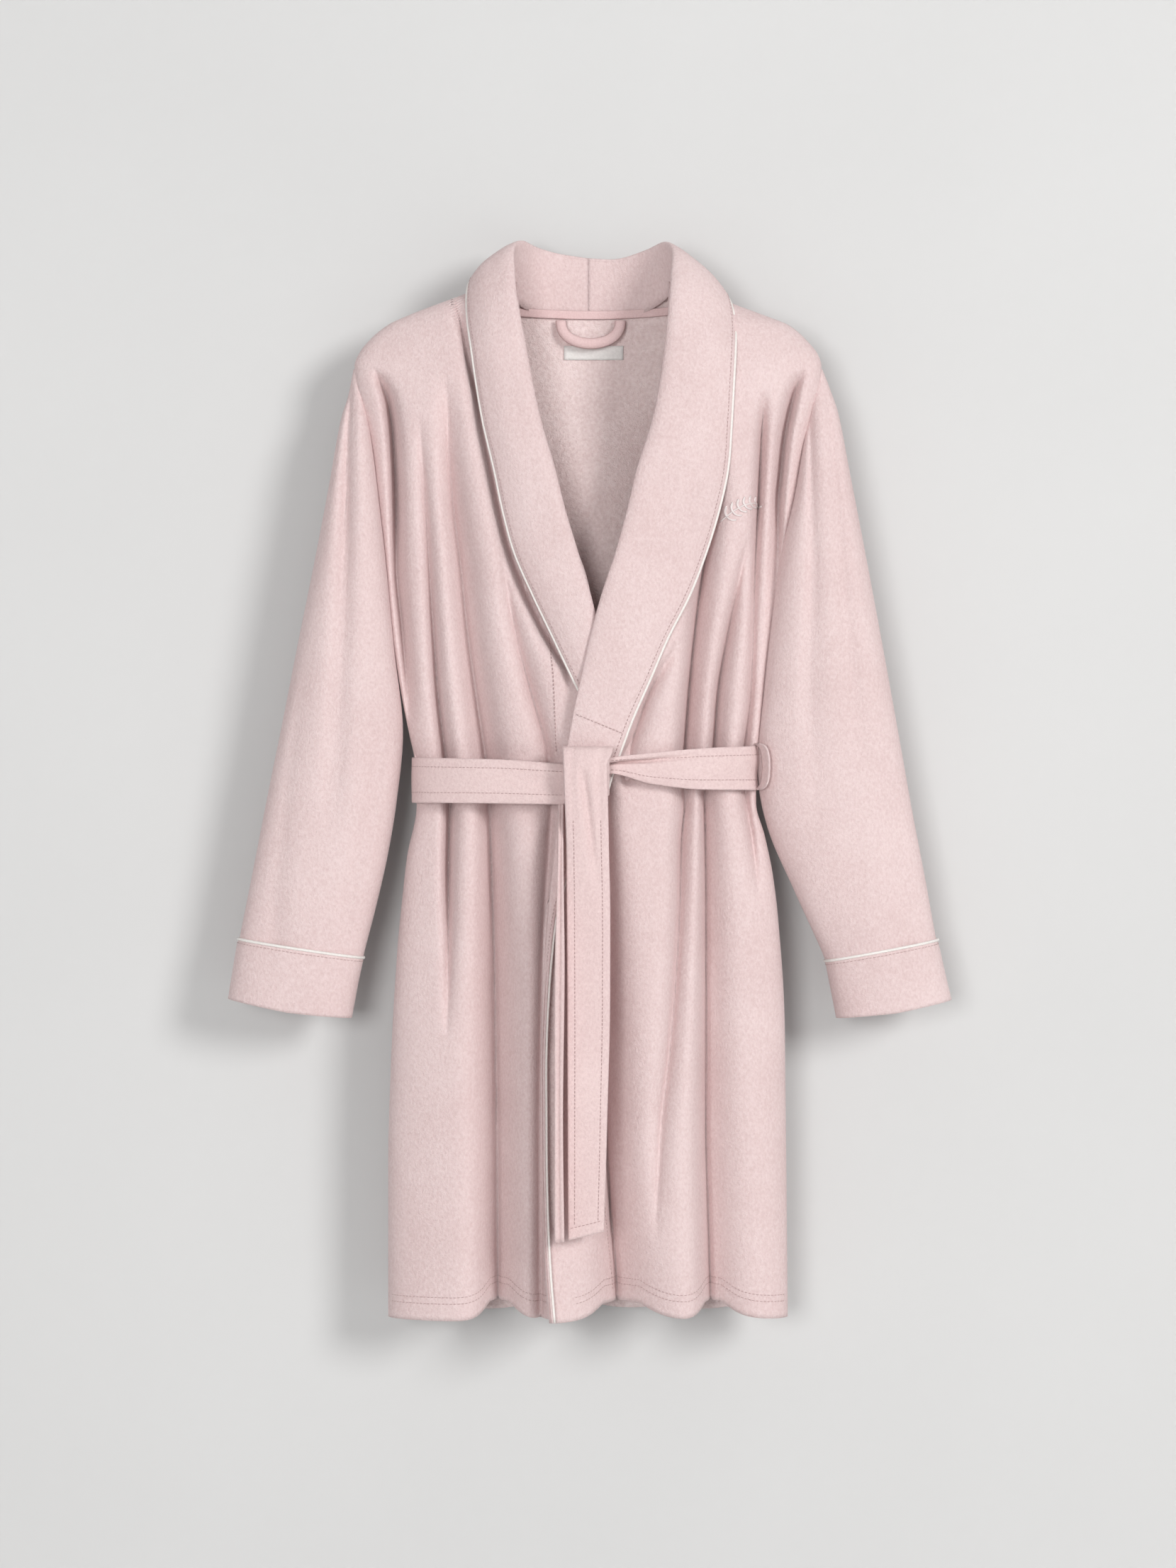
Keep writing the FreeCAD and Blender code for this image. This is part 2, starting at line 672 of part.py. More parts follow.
def oval(station, sign, grow, shift):
    """One closed oval across a sleeve, grown or shrunk, and moved along the sleeve."""
    tilt = math.radians(size(station + "_tilt"))
    wide = size(station + "_wide") + grow
    deep = size(station + "_deep") + grow
    out = size(station + "_out") + shift * math.sin(tilt)
    up = size(station + "_up") - shift * math.cos(tilt)
    corners = []
    for number in range(OVAL_CORNERS):
        turn = 2 * math.pi * number / OVAL_CORNERS
        across = wide * math.cos(turn)
        forward = deep * math.sin(turn)
        x = sign * (out + across * math.cos(tilt))
        y = -size("side_forward") - forward
        corners.append(vec(x, y, up + across * math.sin(tilt)))
    return face_of(corners)


def tube(name, stations, sign, outward, inward, shifts):
    """An open tube through ovals: an outer loft with a longer inner loft cut out of it."""
    outside = []
    inside = []
    for number, (station, shift) in enumerate(zip(stations, shifts)):
        outside.append(oval(station, sign, outward, shift))
        if number == 0:
            shift -= 1
        if number == len(stations) - 1:
            shift += 1
        inside.append(oval(station, sign, inward, shift))
    full = Part.makeLoft(outside, True, True)
    hollow = Part.makeLoft(inside, True, True)
    return feature(name, full.cut(hollow))


# Sleeves with turned-back, piped cuffs.
sleeve_names = [entry[0] for entry in SLEEVE_OVALS]
cuff_inside = size("cuff_gap")
cuff_outside = cuff_inside + size("cuff_cloth")
piping = size("piping_thick")
for side, sign in (("right", -1), ("left", 1)):
    level = [0] * len(sleeve_names)
    pieces.append(tube(side + "_sleeve", sleeve_names, sign, 0, -size("sleeve_cloth"), level))
    wrist = ["wrist", "sleeve_end"]
    pieces.append(tube(side + "_cuff", wrist, sign, cuff_outside, cuff_inside, [0, 0]))
    ring_outside = cuff_outside + piping / 2
    ring_inside = cuff_outside - piping / 2
    above = [-0.3 - piping, -0.3]
    pieces.append(tube(side + "_cuff_piping", ["wrist", "wrist"], sign, ring_outside, ring_inside, above))

doc.recompute()

failed = [item.Name for item in doc.Objects if "Invalid" in item.State or "Error" in item.State]
if failed:
    raise RuntimeError("these objects failed: %s" % failed)
for piece in pieces:
    shape = piece.Shape
    if shape.isNull() or not shape.isValid() or len(shape.Solids) != 1:
        raise RuntimeError("%s has a bad shape with %d solids" % (piece.Label, len(shape.Solids)))
for piece in pieces:
    piece.Shape.exportStep("parts/%s.step" % piece.Label)
    box = piece.Shape.BoundBox
    print(
        "%-22s %9.0f mm3  X %7.1f %7.1f  Y %7.1f %7.1f  Z %7.1f %7.1f"
        % (piece.Label, piece.Shape.Volume, box.XMin, box.XMax, box.YMin, box.YMax, box.ZMin, box.ZMax)
    )
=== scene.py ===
import math

import bpy
import numpy as np
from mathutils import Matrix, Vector


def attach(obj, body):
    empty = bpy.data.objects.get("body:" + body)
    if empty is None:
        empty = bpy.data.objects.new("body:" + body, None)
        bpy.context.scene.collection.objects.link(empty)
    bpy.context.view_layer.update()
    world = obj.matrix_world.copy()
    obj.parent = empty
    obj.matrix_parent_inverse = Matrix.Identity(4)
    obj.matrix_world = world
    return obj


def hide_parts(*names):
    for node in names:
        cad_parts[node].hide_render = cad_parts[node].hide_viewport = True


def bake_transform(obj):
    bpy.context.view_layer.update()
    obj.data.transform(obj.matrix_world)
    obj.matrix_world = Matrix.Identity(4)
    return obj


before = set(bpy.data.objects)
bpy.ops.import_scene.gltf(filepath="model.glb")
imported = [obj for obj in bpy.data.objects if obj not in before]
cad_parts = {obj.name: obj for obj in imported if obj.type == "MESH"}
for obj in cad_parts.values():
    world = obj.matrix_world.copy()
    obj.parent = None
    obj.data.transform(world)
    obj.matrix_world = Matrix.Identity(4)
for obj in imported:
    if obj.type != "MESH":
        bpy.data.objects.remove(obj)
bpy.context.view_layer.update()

# Shapes are worked out in millimetres and turned into metres as meshes are made.
# +X is the wearer's left, -Y the front, +Z up; the back neck seam is the origin.
MM = 0.001
MID_Y = -40.0
BELT_TOP = -423.0
BELT_LOW = -466.0
HEM = -947.0
SHOULDER_TOP = 28.0
# How much further in the right front lies than the left one, which covers it.
UNDERLAP = 6.5
PANEL_THICK = 2.8
FACING_THICK = 1.6
COLLAR_THICK = 2.6
SLEEVE_THICK = 2.5
CUFF_THICK = 3.0
BELT_THICK = 3.0
FALL_THICK = 3.4
CARRIER_THICK = 1.8
NECK_TAPE_THICK = 1.2
LOOP_THICK = 2.2
LABEL_THICK = 0.5
FRONTWARD = np.array([0, -1, 0])
BACKWARD = np.array([0, 1, 0])
SIDES = ((-1, "right"), (1, "left"))


# ---------------------------------------------------------------- curves


def profile(*knots):
    """A smooth function through (height, value) pairs that never overshoots them."""
    knots = sorted(knots)
    at = np.array([k[0] for k in knots], float)
    to = np.array([k[1] for k in knots], float)
    gap = np.diff(at)
    rise = np.diff(to) / gap
    slope = np.zeros(len(at))
    if len(at) > 2:
        same = rise[:-1] * rise[1:] > 0
        mean = 2 * rise[:-1] * rise[1:] / np.where(same, rise[:-1] + rise[1:], 1)
        slope[1:-1] = np.where(same, mean, 0)
    slope[0] = rise[0]
    slope[-1] = rise[-1]

    def value(height):
        height = np.clip(np.asarray(height, float), at[0], at[-1])
        i = np.clip(np.searchsorted(at, height) - 1, 0, len(gap) - 1)
        t = (height - at[i]) / gap[i]
        first = (2 * t**3 - 3 * t**2 + 1) * to[i] + (t**3 - 2 * t**2 + t) * gap[i] * slope[i]
        second = (3 * t**2 - 2 * t**3) * to[i + 1] + (t**3 - t**2) * gap[i] * slope[i + 1]
        return first + second

    return value


def smoothstep(value, low, high):
    t = np.clip((np.asarray(value, float) - low) / (high - low), 0, 1)
    return t * t * (3 - 2 * t)


def spline(points, steps):
    """A Catmull-Rom curve through rows of points, steps samples from each to the next."""
    points = np.asarray(points, float)
    ends = np.concatenate([2 * points[:1] - points[1:2], points, 2 * points[-1:] - points[-2:-1]])
    out = []
    for k in range(len(points) - 1):
        a, b, c, d = ends[k : k + 4]
        for t in np.arange(steps) / steps:
            out.append(
                0.5
                * (
                    2 * b
                    + (c - a) * t
                    + (2 * a - 5 * b + 4 * c - d) * t**2
                    + (3 * b - a - 3 * c + d) * t**3
                )
            )
    out.append(points[-1])
    return np.array(out)


def run_along(line):
    """How far along a line each of its points is."""
    return np.concatenate([[0], np.cumsum(np.linalg.norm(np.diff(line, axis=0), axis=1))])


def point_at(line, run, at):
    """The place on a line at a distance along it, or the places at several."""
    return np.stack([np.interp(at, run, line[:, k]) for k in range(3)], axis=-1)


def even(points, count):
    """The same line with count points evenly spaced along it."""
    run = run_along(points)
    return point_at(points, run, np.linspace(0, run[-1], count))


def wander(x, z, size, seed):
    """Slow unevenness: a few crossed waves with fixed random directions and phases."""
    source = np.random.default_rng(seed)
    total = np.zeros(np.broadcast(x, z).shape)
    for _ in range(6):
        angle, phase = source.uniform(0, 2 * math.pi, 2)
        wave = size * source.uniform(0.7, 1.6)
        along = (x * math.cos(angle) + z * math.sin(angle)) / wave
        total = total + np.sin(2 * math.pi * along + phase)
    return total / 6


# ---------------------------------------------------------------- materials


def node(tree, kind, **values):
    made = tree.nodes.new(kind)
    for key, value in values.items():
        setattr(made, key, value)
    return made


def set_inputs(made, **values):
    """Input values by name, with an underscore for each space in the name."""
    for key, value in values.items():
        made.inputs[key.replace("_", " ")].default_value = value


def new_material(name, rough):
    """A material, its tree and shader, and a coordinate that stays with the object."""
    material = bpy.data.materials.new(name)
    material.use_nodes = True
    tree = material.node_tree
    shader = tree.nodes["Principled BSDF"]
    set_inputs(shader, Roughness=rough)
    place = node(tree, "ShaderNodeTexCoord").outputs["Object"]
    return material, tree, shader, place


def noise(tree, vector, scale, detail, rough=0.55):
    made = node(tree, "ShaderNodeTexNoise")
    set_inputs(made, Scale=scale, Detail=detail, Roughness=rough)
    tree.links.new(vector, made.inputs["Vector"])
    return made.outputs["Fac"]


def ramp(tree, value, stops):
    made = node(tree, "ShaderNodeValToRGB")
    elements = made.color_ramp.elements
    while len(elements) < len(stops):
        elements.new(0.5)
    for element, (place, colour) in zip(elements, stops):
        element.position = place
        element.color = (*colour, 1)
    tree.links.new(value, made.inputs["Fac"])
    return made.outputs["Color"]


def part_way(tree, share, first, second):
    """A number part of the way from the first to the second."""
    made = node(tree, "ShaderNodeMix", data_type="FLOAT")
    set_inputs(made, Factor=share)
    tree.links.new(first, made.inputs["A"])
    tree.links.new(second, made.inputs["B"])
    return made.outputs["Result"]


def bump(tree, shader, height, strength, distance):
    made = node(tree, "ShaderNodeBump")
    set_inputs(made, Strength=strength, Distance=distance)
    tree.links.new(height, made.inputs["Height"])
    tree.links.new(made.outputs["Normal"], shader.inputs["Normal"])


def fleece(name, dark, light, nap, grain, sheen, stretch=1.0):
    """Brushed pile: mottled colour, a fine nap and soft sheen."""
    material, tree, shader, place = new_material(name, 0.92)
    turn = node(tree, "ShaderNodeMapping")
    set_inputs(turn, Scale=(1, 1, 1 / stretch))
    tree.links.new(place, turn.inputs["Vector"])
    vector = turn.outputs["Vector"]
    cloud = noise(tree, vector, 14, 3)
    tufts = noise(tree, vector, nap, 3, 0.6)
    fibre = noise(tree, vector, nap * 3.1, 2, 0.7)
    colour = ramp(tree, part_way(tree, 0.68, cloud, tufts), [(0.36, dark), (0.62, light)])
    tree.links.new(colour, shader.inputs["Base Color"])
    set_inputs(shader, Specular_IOR_Level=0.18, Sheen_Weight=sheen, Sheen_Roughness=0.45)
    set_inputs(shader, Sheen_Tint=(1, 0.93, 0.92, 1))
    bump(tree, shader, part_way(tree, 0.4, tufts, fibre), 1, grain)
    return material


def satin(name, dark, light, rough, ribs):
    """Fine bias-cut satin or thread, ribbed across its length."""
    material, tree, shader, place = new_material(name, rough)
    wave = node(tree, "ShaderNodeTexWave", bands_direction="DIAGONAL")
    set_inputs(wave, Scale=ribs, Distortion=2)
    tree.links.new(place, wave.inputs["Vector"])
    colour = ramp(tree, noise(tree, place, 500, 2), [(0.3, dark), (0.7, light)])
    tree.links.new(colour, shader.inputs["Base Color"])
    set_inputs(shader, Sheen_Weight=0.2)
    bump(tree, shader, wave.outputs["Fac"], 0.6, 0.0002)
    return material


def plain(name, dark, light):
    """A matt painted surface with faint unevenness, for the room."""
    material, tree, shader, place = new_material(name, 0.9)
    colour = ramp(tree, noise(tree, place, 2, 2), [(0.3, dark), (0.7, light)])
    tree.links.new(colour, shader.inputs["Base Color"])
    set_inputs(shader, Specular_IOR_Level=0.1)
    return material


VELOUR = fleece("velour_face", (0.69, 0.525, 0.52), (0.79, 0.64, 0.635), 420, 0.0013, 0.2, 1.3)
REVERSE = fleece("velour_reverse_side", (0.76, 0.6, 0.59), (0.9, 0.76, 0.75), 300, 0.0022, 0.15)
BELT = fleece("belt_velour_face", (0.7, 0.53, 0.525), (0.79, 0.625, 0.615), 440, 0.0011, 0.2, 1.2)
TAPE = fleece("tape_twill", (0.7, 0.5, 0.5), (0.78, 0.59, 0.585), 700, 0.0004, 0.1)
PIPING = satin("piping_face", (0.86, 0.82, 0.78), (0.93, 0.9, 0.87), 0.38, 900)
LABEL = satin("label_weave_face", (0.84, 0.83, 0.81), (0.92, 0.91, 0.89), 0.55, 1400)
THREAD = satin("seam_thread", (0.5, 0.34, 0.335), (0.6, 0.43, 0.42), 0.6, 1600)
MOTIF = satin("motif_thread", (0.9, 0.8, 0.79), (0.96, 0.88, 0.87), 0.35, 1600)


# ---------------------------------------------------------------- meshes


def add_mesh(name, points, faces, material):
    mesh = bpy.data.meshes.new(name)
    mesh.from_pydata((np.asarray(points) * MM).tolist(), [], faces)
    mesh.polygons.foreach_set("use_smooth", [True] * len(mesh.polygons))
    mesh.materials.append(material)
    mesh.update()
    made = bpy.data.objects.new(name, mesh)
    bpy.context.scene.collection.objects.link(made)
    return made


def grid_normals(points, closed, outside):
    """Unit normals of a grid of points, turned to the side that outside points to."""
    if closed:
        across = np.roll(points, -1, axis=1) - np.roll(points, 1, axis=1)
    else:
        across = np.gradient(points, axis=1)
    along = np.gradient(points, axis=0)
    normal = np.cross(across, along)
    normal /= np.linalg.norm(normal, axis=2, keepdims=True) + 1e-9
    side = np.sign(np.sum(normal * outside))
    return normal * side


def cloth(name, points, thick, outside, material, closed=False, keep=None):
    """A closed shell of cloth from a grid of points on its outer face."""
    rows, cols = points.shape[:2]
    normal = grid_normals(points, closed, outside)
    inner = points - normal * thick
    cells = []
    wide = cols if closed else cols - 1
    for i in range(rows - 1):
        for j in range(wide):
            if keep is None or keep[i, j]:
                cells.append((i, j))
    number = rows * cols
    kept = set(cells)
    faces = []
    probe = points[rows // 2, cols // 2]
    step_j = points[rows // 2, (cols // 2 + 1) % cols] - probe
    step_i = points[rows // 2 + 1, cols // 2] - probe
    forward = np.dot(np.cross(step_j, step_i), normal[rows // 2, cols // 2]) > 0

    def at(i, j, layer):
        return layer * number + i * cols + j % cols

    def add(corners):
        faces.append(corners if forward else corners[::-1])

    for i, j in cells:
        add([at(i, j, 0), at(i, j + 1, 0), at(i + 1, j + 1, 0), at(i + 1, j, 0)])
        add([at(i, j, 1), at(i + 1, j, 1), at(i + 1, j + 1, 1), at(i, j + 1, 1)])
        left = (i, (j - 1) % cols) if closed else (i, j - 1)
        right = (i, (j + 1) % cols) if closed else (i, j + 1)
        if (i - 1, j) not in kept:
            add([at(i, j + 1, 0), at(i, j, 0), at(i, j, 1), at(i, j + 1, 1)])
        if (i + 1, j) not in kept:
            add([at(i + 1, j, 0), at(i + 1, j + 1, 0), at(i + 1, j + 1, 1), at(i + 1, j, 1)])
        if left not in kept:
            add([at(i, j, 0), at(i + 1, j, 0), at(i + 1, j, 1), at(i, j, 1)])
        if right not in kept:
            add([at(i + 1, j + 1, 0), at(i, j + 1, 0), at(i, j + 1, 1), at(i + 1, j + 1, 1)])
    both = np.concatenate([points.reshape(-1, 3), inner.reshape(-1, 3)])
    used = sorted({v for face in faces for v in face})
    renumber = {old: new for new, old in enumerate(used)}
    faces = [[renumber[v] for v in face] for face in faces]
    return add_mesh(name, both[used], faces, material)


def wrap_faces(count, sides, ring=False):
    """Faces round count sections of a tube, with an end cap at each end unless it is a ring."""
    faces = []
    for i in range(count if ring else count - 1):
        for k in range(sides):
            a = i * sides + k
            b = i * sides + (k + 1) % sides
            step = ((i + 1) % count - i) * sides
            faces.append([a, b, b + step, a + step])
    if not ring:
        faces.append(list(range(sides))[::-1])
        faces.append([(count - 1) * sides + k for k in range(sides)])
    return faces


def tube(name, line, radius, material, sides=8, ring=False):
    """A round strip that follows a line of points, closed at its ends or into a ring."""
    line = np.asarray(line, float)
    if ring:
        tangent = np.roll(line, -1, axis=0) - np.roll(line, 1, axis=0)
    else:
        tangent = np.gradient(line, axis=0)
    tangent /= np.linalg.norm(tangent, axis=1, keepdims=True) + 1e-9
    guide = np.cross(tangent[0], [0.3, 0.9, 0.2])
    points = []
    for spot, along in zip(line, tangent):
        guide = guide - along * np.dot(guide, along)
        guide /= np.linalg.norm(guide) + 1e-9
        other = np.cross(along, guide)
        for k in range(sides):
            turn = 2 * math.pi * k / sides
            points.append(spot + radius * (guide * math.cos(turn) + other * math.sin(turn)))
    return add_mesh(name, points, wrap_faces(len(line), sides, ring), material)


def loft(name, sections, material):
    """A solid form through closed sections with the same number of points each."""
    sections = np.asarray(sections, float)
    faces = wrap_faces(*sections.shape[:2])
    first = sections[0] - sections[0].mean(axis=0)
    turn = np.cross(first, np.roll(first, -1, axis=0)).sum(axis=0)
    if np.dot(turn, sections[1].mean(axis=0) - sections[0].mean(axis=0)) < 0:
        faces = [face[::-1] for face in faces]
    return add_mesh(name, sections.reshape(-1, 3), faces, material)


def join(name, parts):
    """Several meshes as one object."""
    bpy.ops.object.select_all(action="DESELECT")
    for part in parts:
        part.select_set(True)
    bpy.context.view_layer.objects.active = parts[0]
    if len(parts) > 1:
        bpy.ops.object.join()
    made = bpy.context.view_layer.objects.active
    made.name = name
    made.data.name = name
    return made


def stitches(line, length=2.6, gap=1.1, radius=0.42):
    """A row of short thread lengths along a line, as one mesh."""
    line = np.asarray(line, float)
    run = run_along(line)
    points = []
    faces = []
    for start in np.arange(0, run[-1] - length, length + gap):
        near = point_at(line, run, start)
        far = point_at(line, run, start + length)
        along = far - near
        along /= np.linalg.norm(along) + 1e-9
        side = np.cross(along, [0.2, 0.8, 0.5])
        side /= np.linalg.norm(side) + 1e-9
        other = np.cross(along, side)
        base = len(points)
        for place, width in ((near, 0.3), (near + along * 0.5, 1), (far - along * 0.5, 1), (far, 0.3)):
            for turn in range(4):
                angle = math.pi / 2 * turn
                arm = side * math.cos(angle) + other * math.sin(angle)
                points.append(place + arm * radius * width)
        faces += [[base + v for v in face] for face in wrap_faces(4, 4)]
    return add_mesh("stitch_row", points, faces, THREAD)


# ---------------------------------------------------------------- the trunk

# Half widths of the trunk to the wearer's right and left, down its outline.
HALF = {
    -1: profile(
        (30, 86), (14, 129), (-2, 171), (-11, 190), (-26, 208), (-39, 218), (-50, 222),
        (-66, 221), (-128, 206), (-180, 199.5), (-240, 192.5), (-300, 187), (-360, 178),
        (-405, 169), (-418, 166), (-440, 163), (-468, 163), (-516, 172), (-560, 177),
        (-601, 181), (-703, 187), (-806, 190), (-950, 190),
    ),
    1: profile(
        (30, 86), (9, 138), (-1.5, 166), (-12, 192), (-27, 209), (-40, 219), (-50, 222),
        (-68, 221), (-128, 205), (-180, 197), (-240, 184), (-300, 175), (-355, 168),
        (-406, 163), (-440, 160), (-466, 160), (-496, 168), (-535, 176), (-577, 181),
        (-669, 187), (-744, 188), (-950, 190),
    ),
}
# Depths of the trunk in front of MID_Y and behind it.
FRONT_DEPTH = profile(
    (30, 30), (-12, 38), (-49, 44), (-150, 50), (-250, 51), (-350, 50), (-405, 48),
    (-424, 44), (-465, 44), (-484, 49), (-560, 54), (-700, 58), (-950, 60),
)
BACK_DEPTH = profile(
    (30, 36), (0, 40), (-49, 43), (-150, 46), (-250, 46), (-405, 42), (-424, 39),
    (-465, 39), (-484, 43), (-560, 47), (-700, 52), (-950, 55),
)
# How square the trunk's section is at each height: 2 is an ellipse.
BLUNT = profile(
    (30, 2), (0, 2.1), (-30, 2.6), (-70, 3.1), (-100, 2.9), (-150, 2.3), (-230, 1.9), (-300, 1.9),
    (-405, 2.1), (-950, 2.2),
)


def by_height(width):
    """A width that changes with height, from a list of knots or a single number."""
    return profile(*width) if isinstance(width, list) else (lambda z: width)


def valley(path, depth, left, right, sharp=1.35):
    """A crease in the cloth: where it runs, how deep it is and how wide each side is."""
    return profile(*path), profile(*depth), by_height(left), by_height(right), sharp


FRONT_FOLDS = [
    # Wearer's right, above the belt.
    valley([(-49, -134), (-118, -132), (-180, -128), (-240, -121), (-300, -115), (-360, -107), (-421, -98)],
           [(-60, 0), (-120, 7), (-200, 13), (-300, 17), (-421, 20)],
           [(-120, 8), (-421, 12)], [(-120, 11), (-300, 16), (-421, 16)], 1.7),
    valley([(-120, -158), (-180, -154), (-240, -150.5), (-300, -147), (-360, -143), (-421, -136)],
           [(-100, 0), (-180, 6), (-240, 8), (-328, 12), (-423, 14)], 5, 7),
    valley([(-235, -81), (-300, -69), (-360, -54), (-405, -41), (-421, -37)],
           [(-225, 0), (-300, 7), (-360, 9), (-421, 9)], 7, 9),
    valley([(-55, -202), (-85, -190), (-120, -186), (-180, -183.5), (-240, -183), (-300, -177.5),
            (-360, -172)],
           [(-55, 0), (-80, 12), (-120, 17), (-180, 18), (-240, 15), (-300, 14), (-360, 10), (-410, 0)],
           4, 7, 1.5),
    valley([(16, -129), (-20, -119), (-55, -111), (-79, -105), (-150, -88)],
           [(30, 1), (12, 2), (-20, 7), (-60, 6), (-110, 0)], 2.2, 9, 1.0),
    valley([(-40, -108), (-86, -103), (-153, -90), (-216, -76), (-243, -67), (-299, -42), (-340, -18)],
           [(-30, 0), (-70, 8), (-200, 11), (-300, 13), (-340, 6), (-360, 0)], 7, 9),
    # Wearer's left, above the belt.
    valley([(-55, 206), (-70, 198), (-98, 191), (-120, 187), (-150, 184), (-180, 181.5), (-240, 181),
            (-300, 178)],
           [(-55, 0), (-75, 10), (-98, 15), (-150, 17), (-200, 16), (-250, 13), (-300, 3), (-340, 0)],
           8, 4, 1.5),
    valley([(-80, 166), (-120, 164.5), (-180, 162), (-240, 159), (-300, 157), (-360, 155), (-414, 149)],
           [(-75, 0), (-120, 12), (-180, 15), (-240, 10), (-300, 8), (-360, 10), (-414, 13)], 5, 7),
    valley([(-150, 128), (-180, 124), (-240, 110), (-300, 102), (-360, 96), (-414, 92)],
           [(-140, 0), (-180, 7), (-240, 16), (-300, 19), (-360, 20), (-414, 21)], 7,
           [(-180, 10), (-300, 13), (-414, 14)]),
    valley([(-225, 149), (-240, 146), (-300, 134), (-360, 124), (-414, 120)],
           [(-215, 0), (-240, 5), (-300, 13), (-360, 16), (-414, 17)], 6, 9),
    valley([(-320, 82), (-360, 58), (-405, 42), (-420, 36)],
           [(-310, 0), (-360, 8), (-414, 10)], 4, 9),
    # Wearer's right, below the belt.
    valley([(-469, -132), (-533, -133), (-601, -132), (-669, -133)],
           [(-469, 16), (-533, 14), (-601, 7), (-690, 0)], 4, 6.5),
    valley([(-469, -94), (-500, -93), (-560, -91), (-630, -89), (-700, -88), (-770, -87), (-950, -86)],
           [(-469, 20), (-600, 24), (-800, 24), (-950, 28)],
           [(-469, 8), (-700, 14), (-950, 15)], [(-469, 14), (-560, 17), (-700, 24), (-950, 24)], 1.5),
    # Wearer's left, below the belt.
    valley([(-469, 18), (-560, 17), (-700, 16), (-770, 17), (-850, 21), (-920, 27), (-950, 28)],
           [(-469, 7), (-560, 17), (-700, 24), (-850, 27), (-950, 32)],
           [(-700, 14), (-850, 18), (-950, 24)],
           [(-469, 9), (-560, 14), (-700, 20), (-770, 25), (-850, 32), (-950, 38)]),
    valley([(-469, 92), (-500, 89), (-560, 87), (-630, 83), (-700, 77), (-770, 69), (-857, 64)],
           [(-469, 15), (-567, 12), (-700, 9), (-790, 6), (-880, 0)], 8, 10),
    valley([(-469, 111), (-560, 112), (-630, 112), (-770, 112), (-850, 114), (-950, 117)],
           [(-469, 16), (-600, 19), (-800, 22), (-950, 24)],
           [(-469, 5), (-700, 9), (-950, 13)], [(-469, 12), (-630, 20), (-950, 27)], 1.5),
    valley([(-460, 150), (-500, 156), (-560, 162)],
           [(-460, 11), (-500, 7), (-560, 0)], 5, 7),
]
# Only the right front has this one, where it runs in under the left front's edge.
UNDER_FOLD = valley([(-469, -34), (-500, -36), (-560, -40), (-635, -43), (-770, -45), (-950, -45)],
                    [(-469, 10), (-500, 16), (-950, 20)], 7, 14)
# Only the left front has this one, beside its own edge.
EDGE_FOLD = valley([(-480, -36), (-560, -35), (-770, -33.5), (-890, -32.5)],
                   [(-475, 0), (-520, 9), (-600, 14), (-820, 14), (-885, 0)], 4, 6)
# The depths of FRONT_FOLDS are multiplied by this.
FOLD_DEPTH = 1.75
# How many of the folds in each list are above the belt; the rest are below it.
FRONT_UPPER = 11
BACK_UPPER = 5
BACK_FOLDS = [
    valley([(-60, -150), (-250, -138), (-420, -112)], [(-60, 0), (-250, 6), (-420, 14)], 11, 16),
    valley([(-150, -70), (-300, -62), (-420, -52)], [(-150, 0), (-300, 5), (-420, 12)], 12, 12),
    valley([(-180, 12), (-300, 6), (-420, 2)], [(-180, 0), (-300, 4), (-420, 10)], 10, 13),
    valley([(-150, 78), (-300, 70), (-420, 60)], [(-150, 0), (-300, 6), (-420, 12)], 13, 11),
    valley([(-60, 152), (-250, 140), (-420, 116)], [(-60, 0), (-250, 7), (-420, 14)], 15, 11),
    valley([(-469, -128), (-700, -136), (-950, -138)], [(-469, 13), (-700, 16), (-950, 15)], 12, 22),
    valley([(-469, -64), (-700, -66), (-950, -60)], [(-469, 12), (-700, 12), (-950, 16)], 20, 12),
    valley([(-469, -4), (-700, 2), (-950, 8)], [(-469, 12), (-700, 17), (-950, 19)], 13, 20),
    valley([(-469, 62), (-700, 66), (-950, 70)], [(-469, 12), (-700, 13), (-950, 16)], 20, 12),
    valley([(-469, 124), (-700, 132), (-950, 134)], [(-469, 13), (-700, 16), (-950, 15)], 22, 12),
]


def folded(x, z, folds):
    """How far the cloth is pushed in at a place, by all of its folds."""
    total = np.zeros(np.broadcast(x, z).shape)
    for path, depth, left, right, sharp in folds:
        away = x - path(z)
        width = np.where(away < 0, left(z), right(z))
        slit = 0.22 * np.exp(-((away / 2.4) ** 2))
        total = total + depth(z) * (np.exp(-np.abs(away / width) ** sharp) + slit)
    return total


def belt_side(z, above):
    """Folds above the belt end at it, and so do those below."""
    return smoothstep(z, -452, -438) if above else 1 - smoothstep(z, -452, -438)


def tucked(x, z):
    """How much further in than UNDERLAP the right front lies, where the left one covers it."""
    step = 5.0 * smoothstep(x, -60, -20) * (1 - smoothstep(z, -500, -440))
    return step + folded(x, z, [UNDER_FOLD]) * belt_side(z, False)


def all_folds(x, z, folds, upper):
    above = folded(x, z, folds[:upper]) * belt_side(z, True)
    below = folded(x, z, folds[upper:]) * belt_side(z, False)
    return above + below


def front_fold(x, z):
    return all_folds(x, z, FRONT_FOLDS, FRONT_UPPER) * FOLD_DEPTH


def back_fold(x, z):
    return all_folds(x, z, BACK_FOLDS, BACK_UPPER)


def half_width(x, z):
    return np.where(x < 0, HALF[-1](z), HALF[1](z))


def rounded_off(x, z, depth):
    """The trunk's depth at a place, and how far the place is from the side seams, as 0 to 1."""
    share = np.clip(np.abs(x) / half_width(x, z), 0, 1)
    height = np.sqrt(1 - share**2)
    return depth * height ** (2 / BLUNT(z)), smoothstep(height, 0.05, 0.5)


